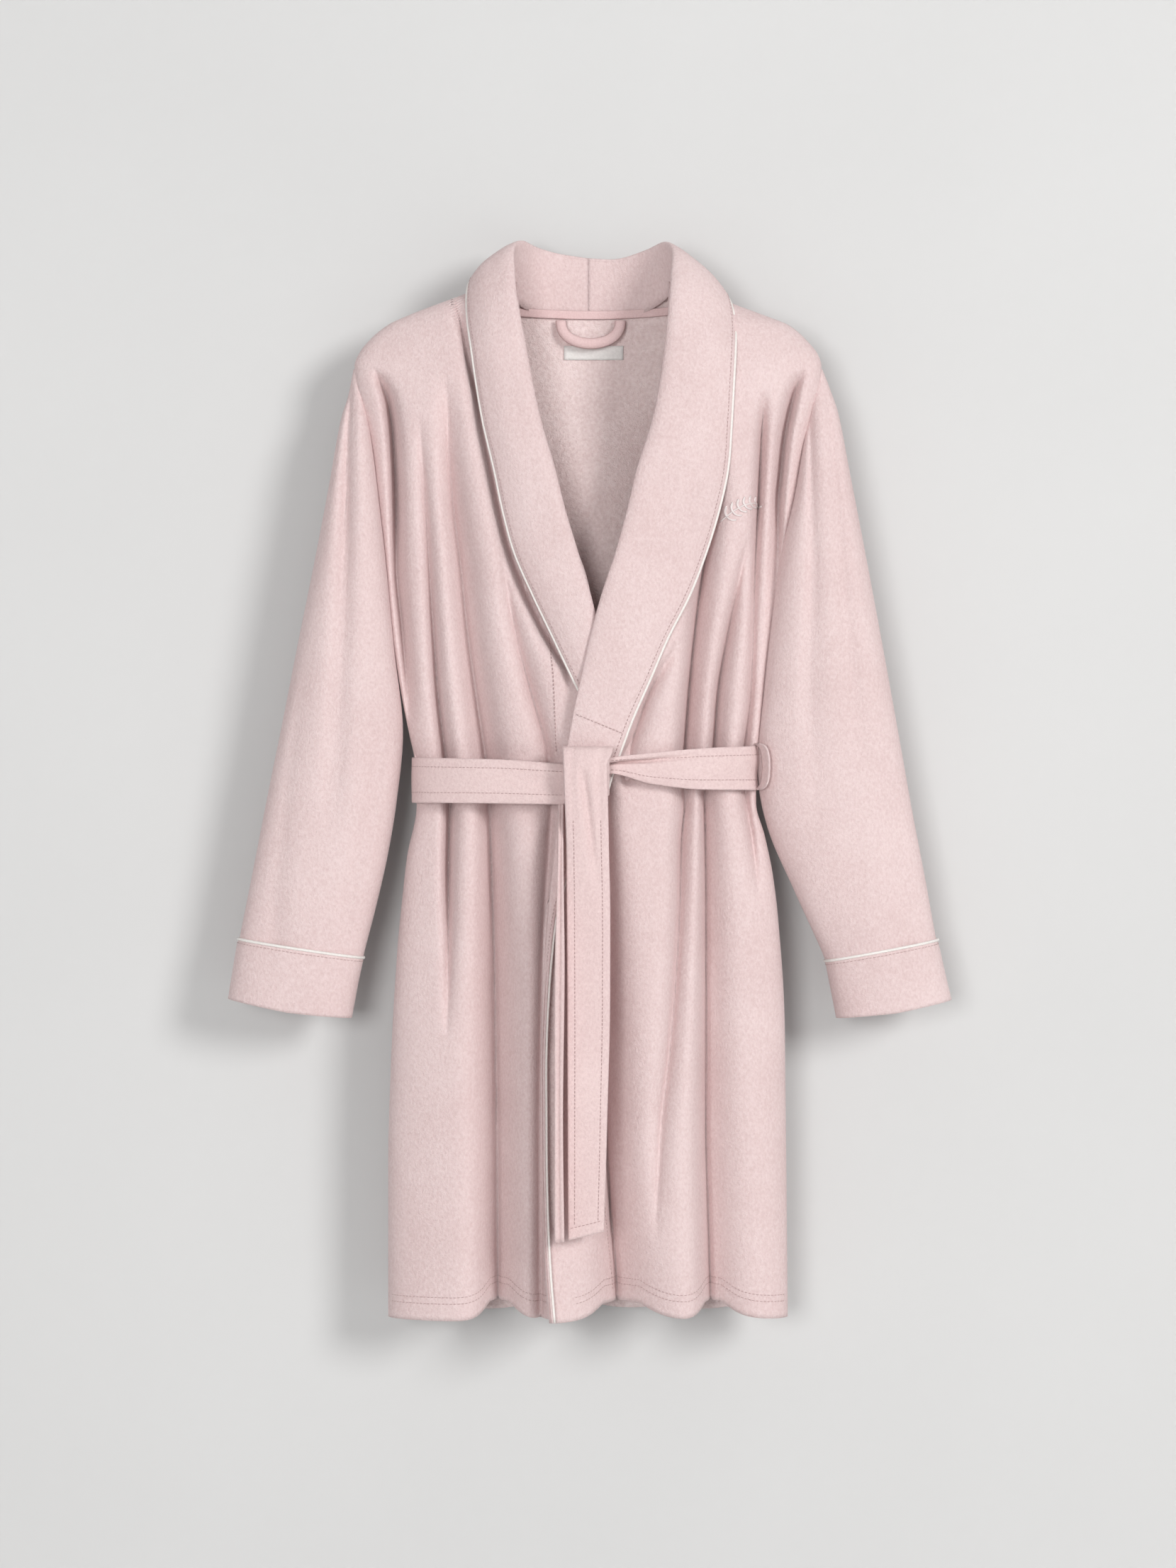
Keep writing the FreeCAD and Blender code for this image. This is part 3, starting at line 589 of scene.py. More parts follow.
def front_y(x, z, sink=0.0, fold=1.0):
    """The front's outer face; sink moves it towards the wearer and fold scales its folds."""
    depth, fade = rounded_off(x, z, FRONT_DEPTH(z) - sink)
    slack = wander(x, z, 130, 3) * 1.5 * fade
    return MID_Y - depth + (front_fold(x, z) * fold + slack) * fade


def back_y(x, z):
    """The back's outer face, which falls in between the shoulder blades."""
    depth, fade = rounded_off(x, z, BACK_DEPTH(z))
    slack = wander(x, z, 150, 5) * 1.5 * fade
    hollow = 36 * np.exp(-(((x - 6) / 70) ** 2)) * smoothstep(-z, 40, 190) * (1 - smoothstep(-z, 250, 400))
    return MID_Y + depth - (back_fold(x, z) + hollow + slack) * fade


def levels(top, low):
    """Heights from top to low, closer together over the shoulders."""
    shoulder_low = -60
    fine_step = 2.5
    step = 4.5
    fine = np.arange(top, shoulder_low, -fine_step) if top > shoulder_low else np.array([])
    start = fine[-1] - fine_step if len(fine) else top
    return np.concatenate([fine, np.linspace(start, low, int((start - low) / step) + 2)])


# Front edges: where each front turns at its roll line, and runs on down to the hem.
LEFT_EDGE = profile(
    (52, 81), (37, 77), (-4, 75.5), (-49, 70), (-98, 62), (-147, 47), (-216, 30), (-289, 7),
    (-336, -4), (-358, -9), (-404, -18), (-466, -27), (-530, -33), (-583, -38.5), (-656, -42),
    (-709, -43.7), (-801, -43), (-885, -40.7), (-921, -39), (-948, -36.3),
)
RIGHT_EDGE = profile(
    (58, -70), (25, -67), (-4, -64), (-36, -58), (-98, -46), (-143, -33), (-216, -14),
    (-252, -1.5), (-289, 7), (-340, 22), (-420, 45), (-500, 58), (-950, 60),
)
# The piped edge of each half of the collar, from beside the neck down.
LEFT_PIPED = profile(
    (24, 126), (7, 137), (-24, 137.6), (-86, 134.7), (-153, 130), (-216, 114), (-259, 99),
    (-314, 72), (-366, 50), (-400, 35), (-416, 30), (-437, 22), (-456, 18), (-500, -6),
    (-560, -28), (-640, -37.5), (-709, -40.2), (-801, -39.8), (-885, -37.4), (-948, -32.5),
)
RIGHT_PIPED = profile(
    (26, -114), (-14, -112.5), (-55, -106), (-86, -102), (-153, -87), (-216, -73), (-243, -63),
    (-299, -37), (-358, -9), (-412, 18), (-500, 48), (-950, 53),
)

# Hem heights by depth of fold: the cloth hangs lower on ridges than in valleys.
HEM_DROP = profile((0, -953.5), (14, -949), (36, -938))


def to_hem(z, fold):
    """Lower rows stretched down to the hem's own wavy edge."""
    return z + (HEM_DROP(fold) - HEM) * smoothstep(-z, 700, 947)


def front_panel(name, side, edge, sink):
    columns = 190
    heights = levels(SHOULDER_TOP, HEM)
    rows = []
    for level in heights:
        half = float(HALF[side](level))
        # The row ends at the front edge, and always short of the far side seam.
        stop = math.asin(np.clip(float(edge(level)) / half, -0.98, 0.98))
        rows.append(np.sin(np.linspace(side * math.pi / 2, stop, columns)))
    sine = np.array(rows)
    z = np.repeat(heights[:, None], columns, axis=1)
    x = HALF[side](z) * sine
    z = to_hem(z, front_fold(x, np.full_like(x, HEM)))
    x = HALF[side](z) * sine
    near_edge = np.exp(-(((x - edge(z)) / 16) ** 2))
    lift = 4.0 * near_edge * (1 - smoothstep(z, -520, -470)) if side > 0 else 0
    y = front_y(x, z, sink) - lift
    y = y + (tucked(x, z) if side < 0 else folded(x, z, [EDGE_FOLD]))
    return cloth(name, np.stack([x, y, z], axis=2), PANEL_THICK, FRONTWARD, REVERSE)


left_front = front_panel("left_front_cloth", 1, LEFT_EDGE, 0)
right_front = front_panel("right_front_cloth", -1, RIGHT_EDGE, UNDERLAP)


def back_neck(x):
    """The back neck edge, lowest in the middle."""
    return SHOULDER_TOP * smoothstep(np.abs(x), 30, 88)


def back_panel():
    columns = 150
    sine = np.sin(np.linspace(-math.pi / 2, math.pi / 2, columns))
    top = np.full(columns, SHOULDER_TOP)
    for _ in range(30):
        top = back_neck(half_width(sine, top) * sine)
    # The top rows follow the neck edge, and rows are level from this height down.
    low = -60
    rows = []
    for level in levels(SHOULDER_TOP, HEM):
        share = np.clip((SHOULDER_TOP - level) / (SHOULDER_TOP - low), 0, 1)
        rows.append(np.where(level > low, top * (1 - share) + low * share, level))
    z = np.array(rows)
    x = half_width(sine, z) * sine
    z = to_hem(z, back_fold(x, np.full_like(x, HEM)))
    x = half_width(sine, z) * sine
    points = np.stack([x, back_y(x, z), z], axis=2)
    return cloth("back_cloth", points, PANEL_THICK, BACKWARD, REVERSE)


back = back_panel()


def paint_outside(piece, direction):
    """Faces turned the given way take a second material, the cloth's face side."""
    piece.data.materials.append(VELOUR)
    facing = np.zeros(len(piece.data.polygons) * 3)
    piece.data.polygons.foreach_get("normal", facing)
    outward = facing.reshape(-1, 3) @ direction > 0
    piece.data.polygons.foreach_set("material_index", outward.astype(int))


paint_outside(back, BACKWARD)
for panel in (left_front, right_front):
    paint_outside(panel, FRONTWARD)


def facing_strip(name, side, edge, sink):
    """The front facing: a strip of cloth inside the front, along its edge."""
    columns = 18
    heights = levels(-60, HEM + 8)
    x = np.array([float(edge(level)) + side * np.linspace(2, 66, columns) for level in heights])
    z = np.repeat(heights[:, None], columns, axis=1)
    y = front_y(x, z, sink) + 3.6
    if side < 0:
        y = y + tucked(x, z)
    return cloth(name, np.stack([x, y, z], axis=2), FACING_THICK, FRONTWARD, REVERSE)


left_facing = facing_strip("left_facing_cloth", 1, LEFT_EDGE, 0)
right_facing = facing_strip("right_facing_cloth", -1, RIGHT_EDGE, UNDERLAP)


# ---------------------------------------------------------------- collar


def collar_section(roll, edge, inner, outward, bulge):
    """Control points across the collar: piped edge, fall, roll and the turned-in side."""
    roll, edge, inner, outward = (np.array(p, float) for p in (roll, edge, inner, outward))
    outward = outward / np.linalg.norm(outward)
    across = roll - edge
    back_in = inner - roll
    return [
        edge - outward * 2.2,
        edge + outward * 0.6,
        edge + across * 0.12 + outward * (1.2 + bulge * 0.5),
        edge + across * 0.38 + outward * (1.6 + bulge),
        edge + across * 0.68 + outward * (1.2 + bulge),
        edge + across * 0.9 + outward * bulge * 0.8,
        roll,
        roll + back_in * 0.3 - outward * 1.0,
        inner,
    ]


def front_station(z, side, lift, bulge):
    """A level slice of the lapel, lying on the front."""
    roll_line, edge_line = (LEFT_EDGE, LEFT_PIPED) if side > 0 else (RIGHT_EDGE, RIGHT_PIPED)
    sink = 0 if side > 0 else UNDERLAP
    roll_x = float(roll_line(z))
    edge_x = float(edge_line(z))
    width = abs(edge_x - roll_x)
    # From here down the left front covers the right lapel, which lies flat in the folds.
    covered = float(smoothstep(-z, 330, 430)) if side < 0 else 0.0
    on_roll = float(front_y(np.array(roll_x), np.array(z), sink, 0.25 + 0.75 * covered))
    on_edge = float(front_y(np.array(edge_x), np.array(z), sink, 0.35 + 0.65 * covered))
    on_roll += 5.0 * float(smoothstep(-z, 440, 500)) * covered
    on_edge += 5.0 * float(smoothstep(-z, 440, 500)) * covered
    roll = (roll_x, on_roll - lift * 0.55 * (1 - covered), z)
    proud = 7.5 if side < 0 else 4.0 + 4.0 * float(smoothstep(-z, 560, 640))
    edge = (edge_x, on_edge - proud * (1 - covered) + 4.5 * covered, z)
    inner = (roll_x + side * min(14, width * 0.7), on_roll + 5.5, z)
    tilt = (0.12 * side, -1, 0)
    return collar_section(roll, edge, inner, tilt, bulge * (1 - covered))


# Slices round the neck from beside the centre seam: roll, edge, inner side, outward and bulge.
NECK_STATIONS = {
    1: [
        ((28, -3, 57), (40, 14, -40), (27, -4.5, 1.2), (0.15, 1, 0.3), 3),
        ((54, -16, 63), (84, 8, -14), (52, -8, 4), (0.55, 0.7, 0.5), 4),
        ((72, -36, 68), (112, -18, 16), (72, -22, 14), (0.8, 0.35, 0.7), 5),
        ((80, -56, 58), (130, -44, 17), (82, -42, 24), (0.7, -0.3, 0.8), 6),
        ((78.5, -72, 36), (135.5, -58, 5), (87, -58, 18), (0.45, -0.8, 0.5), 7),
        ((76.5, -84, 8), (138, -68, -16), (88, -70, 2), (0.25, -1, 0.25), 7),
    ],
    -1: [
        ((-28, -3, 62), (-40, 14, -40), (-27, -4.5, 1.2), (-0.15, 1, 0.3), 3),
        ((-48, -14, 66), (-76, 8, -8), (-52, -8, 4), (-0.55, 0.7, 0.5), 4),
        ((-62, -36, 69), (-96, -18, 28), (-70, -22, 14), (-0.8, 0.35, 0.7), 5),
        ((-69.5, -56, 60), (-110, -44, 31), (-80, -42, 24), (-0.7, -0.3, 0.8), 6),
        ((-69, -70, 38), (-114, -54, 20), (-80, -56, 18), (-0.45, -0.8, 0.5), 7),
        ((-66.5, -80, 10), (-113.5, -64, -6), (-78, -66, 2), (-0.25, -1, 0.25), 7),
    ],
}
LAPEL_HEIGHTS = [-40, -75, -110, -150, -190, -230, -270, -310, -350, -385, -412, -440, -470, -510]
# The right half ends above the hem, so that it stays hidden behind the left front.
LAPEL_END = {-1: -932, 1: -951}
LAPEL_LIFT = profile((0, 17), (-200, 16), (-350, 13), (-410, 7), (-470, 6), (-520, 8), (-950, 8))
LAPEL_BULGE = profile((0, 7), (-150, 7), (-260, 6), (-350, 4), (-410, 1.5), (-470, 1), (-950, 1))


def collar(side):
    """Half a shawl collar from the centre back seam, down the lapel to the hem."""
    sections = [collar_section((0, 0, 58), (0, 16, -44), (0, -3.5, 0.5), (0, 1, 0.25), 3)]
    sections += [collar_section(*station) for station in NECK_STATIONS[side]]
    for z in LAPEL_HEIGHTS + list(np.linspace(-560, LAPEL_END[side], 9)):
        sections.append(front_station(z, side, float(LAPEL_LIFT(z)), float(LAPEL_BULGE(z))))
    across = np.array([spline(section, 5) for section in sections])
    grid = spline(across.reshape(len(sections), -1), 8)
    grid = grid.reshape(grid.shape[0], across.shape[1], 3)
    ripple = wander(grid[:, :, 0] * 2, grid[:, :, 2], 90, 11)
    grid[:, :, 1] += ripple * smoothstep(-grid[:, :, 2], -20, 60)
    return grid


def facet_seam(piece):
    """Flat shading for the faces at the centre back seam, so that the seam shows as an edge."""
    for face in piece.data.polygons:
        if abs(face.normal.x) > 0.85 and abs(face.center.x) < 0.0008:
            face.use_smooth = False


collars = {}
pipes = {}
grids = {}
for side, word in SIDES:
    grid = collar(side)
    # The collar's own outside is the side that faces the front on the lapel.
    outside = np.zeros_like(grid)
    outside[70:, 5:25, 1] = -1
    collars[side] = cloth("collar_%s_cloth" % word, grid, COLLAR_THICK, outside, VELOUR)
    facet_seam(collars[side])
    line = grid[:, 4] * 0.7 + grid[:, 0] * 0.3
    sideways = grid[:, 3] - grid[:, 20]
    sideways /= np.linalg.norm(sideways, axis=1, keepdims=True)
    line = line + sideways * (1.25 if side > 0 else 0.9)
    pipes[side] = tube("collar_%s_piping" % word, line, 1.25, PIPING, 10)
    grids[side] = grid


# ---------------------------------------------------------------- neck details

tape_x = np.linspace(-71, 79, 44)
tape_rows = []
for height in (7.0, 6.4, 5.0, 3.0, 1.0, -0.2, -0.9):
    curve = height + 0.00052 * tape_x**2 - 0.6
    swell = 1.0 - 0.5 * (abs(height - 3.0) > 3.6)
    tape_rows.append(np.stack([tape_x, back_y(tape_x, curve) - 5.2 - swell, curve], axis=1))
neck_tape = cloth("neck_tape_cloth", np.array(tape_rows), NECK_TAPE_THICK, FRONTWARD, TAPE)

LOOP_MIDDLE = 2.5
LOOP_TOP = -3.0
LOOP_REACH = 28.5
LOOP_DROP = 22.5
LOOP_HALF_WIDTH = 5.2
# Across the tape: place from edge to edge, and how far the face stands out there.
LOOP_CROWN = ((-1.0, -0.8), (-0.86, 0.9), (-0.5, 2.1), (0, 2.6), (0.5, 2.1), (0.86, 0.9), (1.0, -0.8))


def loop_rows():
    line = []
    for turn in np.linspace(0, 1, 49):
        angle = math.pi * turn
        across = -LOOP_REACH * math.cos(angle)
        drop = LOOP_DROP * math.sin(angle) ** 0.8
        forward = -9.0 - 4.0 * math.sin(angle)
        line.append((LOOP_MIDDLE + across, forward, LOOP_TOP - drop))
    line = np.array(line)
    tangent = np.gradient(line, axis=0)
    tangent /= np.linalg.norm(tangent, axis=1, keepdims=True)
    sideways = np.stack([tangent[:, 2], np.zeros(len(tangent)), -tangent[:, 0]], axis=1)
    return np.array(
        [line + sideways * LOOP_HALF_WIDTH * place + np.array([0, -out, 0]) for place, out in LOOP_CROWN]
    )


hanging_loop = cloth("hanging_loop_tape", loop_rows(), LOOP_THICK, FRONTWARD, TAPE)

label_x = np.linspace(-23, 34, 20)
label_rows = []
for height in np.linspace(-26.5, -40, 7):
    z = np.full(20, height)
    label_rows.append(np.stack([label_x, back_y(label_x, z) - 4.4 - 0.3 * np.sin(label_x / 9), z], 1))
label = cloth("woven_label_cloth", np.array(label_rows), LABEL_THICK, FRONTWARD, LABEL)


# ---------------------------------------------------------------- sleeves

# Each sleeve from shoulder to wrist: x and z of its outer edge as seen from the front,
# x and z of its inner edge, and half its depth.
SLEEVE_EDGES = {
    1: [
        (223, -53, 216, -58, 8), (231, -74, 210, -88, 19), (239, -99, 204, -124, 28),
        (248, -146, 196, -172, 33), (259, -203, 184, -226, 36), (271, -266, 175, -285, 37),
        (285, -342, 167, -357, 36), (299, -420, 161, -432, 34), (309, -476, 171, -490, 32),
        (320.5, -536, 197, -551, 30), (331.5, -597, 226, -616, 28), (337, -625, 231, -644, 27),
        (341, -646, 236, -664, 27),
    ],
    -1: [
        (-223, -53, -216, -58, 8), (-228, -78, -210, -90, 19), (-236, -106, -205, -122, 28),
        (-247, -168, -198, -182, 33), (-260, -236, -191, -247, 36), (-275, -310, -184, -320, 37),
        (-290, -386, -176, -396, 36), (-303, -450, -182, -464, 34), (-314, -506, -191, -518, 32),
        (-323, -552, -202, -566, 30), (-331.5, -595, -214, -613, 28),
        (-335, -622, -219, -640, 27), (-338, -644, -223, -662, 27),
    ],
}
SLEEVE_FOLDS = {
    -1: [
        valley([(-60, -222), (-83, -226), (-196, -229.6), (-280, -231.7), (-363, -236), (-480, -243)],
               [(-60, 1), (-100, 9), (-180, 11), (-280, 9), (-420, 6), (-500, 0)], 7, 9, 1.6),
        valley([(-300, -262), (-420, -280), (-560, -296)], [(-300, 0), (-420, 3), (-560, 4)], 14, 14),
        valley([(-380, -196), (-450, -202), (-560, -226)], [(-380, 0), (-450, 5), (-580, 2)], 9, 10),
    ],
    1: [
        valley([(-60, 223), (-100, 229), (-200, 236), (-320, 246), (-450, 262)],
               [(-60, 1), (-110, 6), (-300, 6), (-450, 0)], 9, 9, 1.6),
        valley([(-120, 211), (-180, 211), (-240, 211), (-300, 209), (-360, 208), (-460, 214)],
               [(-90, 0), (-120, 8), (-180, 8), (-240, 8), (-300, 7), (-400, 5), (-500, 0)], 6, 12),
        valley([(-400, 282), (-500, 292), (-590, 304)], [(-400, 0), (-500, 4), (-600, 3)], 12, 12),
    ],
}


def rounded(angle, power):
    """Cosine and sine of an angle, squared off by a power under 1."""
    return [math.copysign(abs(value) ** power, value) for value in (math.cos(angle), math.sin(angle))]


RING_COUNT = 64


def ring(outer_x, outer_z, inner_x, inner_z, deep):
    """One closed oval across a sleeve: outer point, front, inner point, back."""
    outer = np.array([outer_x, MID_Y, outer_z], float)
    inner = np.array([inner_x, MID_Y, inner_z], float)
    centre = (outer + inner) / 2
    reach = (outer - inner) / 2
    points = []
    for k in range(RING_COUNT):
        cosine, sine = rounded(2 * math.pi * k / RING_COUNT, 0.9)
        points.append(centre + reach * cosine + np.array([0, -deep * sine, 0]))
    return np.array(points)


def ovals(entries, steps):
    """A grid of ovals, with steps of them from each of the entries to the next."""
    return np.array([ring(*row) for row in spline(entries, steps)])


def sleeve_grid(side):
    grid = ovals(SLEEVE_EDGES[side], 12)
    # Folds push the front in; the back gets the same, mirrored front to back and softer.
    x = grid[:, :, 0]
    z = grid[:, :, 2]
    push = folded(x, z, SLEEVE_FOLDS[side])
    turn = np.arange(RING_COUNT) * 2 * math.pi / RING_COUNT
    front = np.clip(np.sin(turn), 0, 1)[None, :] ** 0.6
    rear = np.clip(-np.sin(turn), 0, 1)[None, :] ** 0.6
    grid[:, :, 1] += push * front - push * rear * 0.8
    grid[:, :, 1] += wander(x * 1.5, z, 120, 21 + side) * 1.6 * (front - rear)
    return grid


sleeves = {}
for side, word in SIDES:
    grid = sleeve_grid(side)
    centre = grid.mean(axis=1, keepdims=True)
    # The side towards the trunk is open, as far as the trunk covers it.
    half = HALF[side](grid[:, :, 2])
    inside = (np.abs(grid[:, :, 0]) < half - 9) & (grid[:, :, 2] > -225)
    keep = ~(inside[:-1] & inside[1:] & np.roll(inside, -1, axis=1)[:-1])
    name = "%s_sleeve_cloth" % word
    sleeves[side] = cloth(name, grid, SLEEVE_THICK, grid - centre, VELOUR, closed=True, keep=keep)

CUFF_EDGES = {
    1: [(332.5, -596.5, 225.5, -616.5, 29.5), (334.7, -604, 227, -624, 30.5),
        (340, -628, 231.5, -647, 30.5), (346, -652.5, 236, -670, 30)],
    -1: [(-332.5, -595.5, -213.5, -613.5, 29.5), (-334.5, -603, -215, -621, 30.5),
         (-338.5, -627, -220, -645, 30.5), (-342.5, -651.5, -224.5, -670, 30)],
}
cuffs = {}
cuff_pipes = {}
cuff_rows = {}
for side, word in SIDES:
    grid = ovals(CUFF_EDGES[side], 8)
    # The end of the cuff hangs a little lower in the middle of its front and back.
    last = np.linspace(0, 1, len(grid))[:, None]
    middle = 1 - np.abs(np.cos(np.arange(RING_COUNT) * 2 * math.pi / RING_COUNT))
    grid[:, :, 2] -= (3.0 * middle)[None, :] * last
    grid[:, :, 1] += wander(grid[:, :, 0] * 2, grid[:, :, 2], 60, 31 + side) * 0.8
    centre = grid.mean(axis=1, keepdims=True)
    cuffs[side] = cloth("%s_cuff_cloth" % word, grid, CUFF_THICK, grid - centre, VELOUR, closed=True)
    edge = grid[0] + (grid[0] - centre[0]) * 0.004 + np.array([0, 0, 0.8])
    cuff_pipes[side] = tube("%s_cuff_satin_piping" % word, edge, 1.4, PIPING, 8, ring=True)
    row = grid[4] + (grid[4] - centre[4]) * 0.004
    cuff_rows[side] = np.concatenate([row, row[:1]])


# ---------------------------------------------------------------- belt

# The belt's path: half widths to the right and left, and depths to the front and back.
BELT_REACH = {-1: 167.0, 1: 161.0}
BELT_FRONT = 56
BELT_BACK = 43


def belt_point(angle, out):
    """A place on the belt's path round the waist; angle 0 is the middle of the front."""
    sine = math.sin(angle)
    cosine = math.cos(angle)
    reach = BELT_REACH[1 if sine > 0 else -1] + out
    if cosine > 0:
        return np.array([reach * sine, MID_Y - (BELT_FRONT + out) * cosine**0.8])
    return np.array([reach * sine, MID_Y + (BELT_BACK + out) * (-cosine) ** 0.8])


# Heights of the belt's top and low edge across its front.
BAND_TOP = profile((-170, -422.5), (-85, -424.5), (-25, -428.5), (0, -430), (20, -423), (60, -418.5),
                   (110, -414), (160, -411.5))
BAND_LOW = profile((-170, -465.5), (-85, -466), (-25, -467), (0, -455), (20, -438), (60, -448),
                   (110, -453), (160, -453.5))


def belt_edges(angle, x):
    """Heights of the belt's top and low edge: shaped at the front, level round the back."""
    if math.cos(angle) > 0:
        return float(BAND_TOP(x)), float(BAND_LOW(x))
    level = smoothstep(-math.cos(angle), 0, 0.5)
    at_side = math.copysign(160, x)
    top = float(BAND_TOP(at_side)) * (1 - level) + BELT_TOP * level
    low = float(BAND_LOW(at_side)) * (1 - level) + BELT_LOW * level
    return top, low


def belt_pull(x, share):
    """Creases at the front of the belt; share runs from its top edge to its low one."""
    if x < -20:
        near = math.exp(-((x + 22) / 30) ** 2)
        return 2.2 * near * math.sin(share * 9) + 0.7 * math.sin(x / 17 + share * 4)
    if x > 10:
        # One layer folds over the other here, with a slit between them.
        near = math.exp(-((x - 18) / 60) ** 2)
        slit = 0.13 + 0.24 * math.exp(-(x - 19) / 35)
        pull = -8.0 * near * math.exp(-((share - slit - 0.03) / 0.06) ** 2)
        pull += 2.0 * near * (share < slit) + 1.0 * math.sin(share * 7 + x / 25)
        return pull
    return 0.0


def belt_band(name, start, stop):
    """A stretch of the belt as a strip of doubled cloth, and its grid."""
    rows = []
    for share in np.linspace(0, 1, 31):
        row = []
        for angle in np.linspace(start, stop, 150):
            x = belt_point(angle, 0)[0]
            top, low = belt_edges(angle, x)
            pull = belt_pull(x, share) if math.cos(angle) > 0 else 0.0
            spot = belt_point(angle, 1.2 * math.sin(math.pi * share) ** 0.6 + pull)
            row.append((spot[0], spot[1], top * (1 - share) + low * share))
        rows.append(row)
    grid = np.array(rows)
    outside = grid - np.array([0, MID_Y, 0])
    outside[:, :, 2] = 0
    return cloth(name, grid, BELT_THICK, outside, BELT), grid


belt_right, belt_right_grid = belt_band("belt_band_right", -0.06, -math.pi)
belt_left, belt_left_grid = belt_band("belt_band_left", 0.05, math.pi)


# The half knot: the front end comes up behind the belt, folds over it and hangs down.
FALL_SECTION = [
    (-98, -462), (-98.5, -440), (-100, -424), (-103, -415.5), (-108.5, -412.5), (-113.5, -416),
    (-116, -428), (-117, -448), (-117.5, -470), (-118.5, -500), (-119, -540), (-119, -600),
    (-119, -660), (-119, -720), (-118.5, -780), (-118, -830), (-118, -873),
]
fall = even(spline([(0, y, z) for y, z in FALL_SECTION], 8), 190)
FALL_LEFT = profile((-414, -23.8), (-450, -22.4), (-510, -20.2), (-600, -19.6), (-873, -18.5))
FALL_RIGHT = profile((-413, 23.8), (-420, 22), (-430, 18), (-467, 18.7), (-510, 19.6), (-570, 20.8),
                     (-650, 20.6), (-760, 18), (-873, 15))
share = np.linspace(0, 1, 29)[None, :]
low = fall[:, 2][:, None]
fall_x = FALL_LEFT(low) * (1 - share) + FALL_RIGHT(low) * share
# How far the cloth stands out: a soft crown, three creases below the knot and slow waves.
crease_path = share - 0.47 + 0.0024 * (low + 451)
crease_reach = smoothstep(-low, 425, 450) * (1 - smoothstep(-low, 495, 560))
bend = 1.9 * np.sin(math.pi * share) ** 0.6
bend = bend - 4.0 * np.exp(-((crease_path / 0.1) ** 2)) * crease_reach
bend = bend - 1.6 * np.exp(-(((share - 0.8) / 0.1) ** 2)) * (1 - smoothstep(-low, 440, 640))
bend = bend - 0.9 * np.exp(-(((share - 0.2) / 0.07) ** 2)) * (1 - smoothstep(-low, 440, 520))
bend = bend + 1.1 * np.sin(low / 43 + share * 3.4) * share * smoothstep(-low, 480, 560)
bend = bend + 0.5 * np.sin(low / 17 + share * 2.0) * smoothstep(-low, 500, 620)
front_part = smoothstep(-fall[:, 1], 106, 114)[:, None]
fall_y = fall[:, 1][:, None] - bend * front_part
fall_z = low + 9.0 * share * smoothstep(-low, 800, 873)
fall_grid = np.stack([fall_x, fall_y, fall_z], axis=2)
# The outside faces the front from this row on, past the fold over the belt.
fall_face = np.zeros_like(fall_grid)
fall_face[60:, :, 1] = -1
front_tail = cloth("belt_front_fall_cloth", fall_grid, FALL_THICK, fall_face, BELT)

# The wrapped middle of the knot, between the two layers of the fall.
wraps = []
for share in np.linspace(0, 1, 15):
    swell = 1 - 0.2 * (2 * share - 1) ** 4
    around = [rounded(2 * math.pi * k / 28, 0.65) for k in range(28)]
    x = -20 + 40 * share
    wraps.append([(x, -105.5 + 6.4 * swell * u, -440 + 22.5 * swell * w) for u, w in around])
knot = loft("belt_knot_cloth", wraps, BELT)


REAR_TOP = -458
REAR_END = -873
# The rear tail's near edge, and how wide it is from there back towards the robe.
REAR_NEAR = profile((REAR_TOP, -94), (-470, -98), (-490, -112), (-530, -124), (-640, -133), (REAR_END, -133))
REAR_WIDE = profile((REAR_TOP, 7), (-490, 18), (-540, 33), (REAR_END, 33))
# Half of its section: a share of the half thickness, and the distance from the near edge.
REAR_HALF = [
    (0.15, 1.6), (0.45, 0.5), (0.85, 0.2), (1.0, 1.6), (1.0, 5), (0.9, 12), (0.85, 24), (0.8, 31), (0.5, 33),
]


def edge_on(z):
    """The rear tail seen along its edge: two layers of cloth with the seam between them."""
    t = smoothstep(-z, 470, 620)
    centre = -26.2 + 1.0 * math.sin(z / 95)
    half = 2.4 + 1.9 * float(t) * (1 + 0.15 * math.sin(z / 37))
    near = float(REAR_NEAR(z))
    far = near + float(REAR_WIDE(z))
    shape = [(-u, w) for u, w in REAR_HALF] + [(0, 33.4)] + REAR_HALF[::-1] + [(0, 2.6)]
    lean = 1.4 * math.sin(z / 60)
    return [(centre + half * u + lean * w / 33, near + w * (far - near) / 33, z) for u, w in shape]


rear_tail = loft("belt_tail_rear_cloth", [edge_on(z) for z in np.linspace(REAR_TOP, REAR_END, 80)], BELT)

# Belt carriers: tape loops from the side seams. The right one lies flat behind the belt
# and the left one stands out round the belt's end.
CARRIER_PATHS = {
    -1: [(160, -40, -413), (163, -41, -416), (164.5, -42, -423), (165, -42, -441), (164.5, -42, -459),
         (163, -41, -466), (160, -40, -469)],
    1: [(156, -46, -409), (161, -56, -409), (166.5, -62, -412), (169.5, -65, -421), (170, -65, -436),
        (168, -62, -448), (163, -56, -453), (156, -46, -453)],
}
CARRIER_LEAN = {-1: 0.0, 1: 0.42}
CARRIER_FRONT = -5
CARRIER_BACK = {-1: 5, 1: 9}
carriers = {}
for side, word in SIDES:
    path = spline(CARRIER_PATHS[side], 6)
    path[:, 0] *= side
    across = np.array([-side * CARRIER_LEAN[side], 1, 0])
    rows = np.array([path + offset * across for offset in np.linspace(CARRIER_FRONT, CARRIER_BACK[side], 8)])
    outside = rows - np.array([side * 141, -42, -432])
    carriers[side] = cloth("belt_carrier_%s_cloth" % word, rows, CARRIER_THICK, outside, VELOUR)


# ---------------------------------------------------------------- embroidery


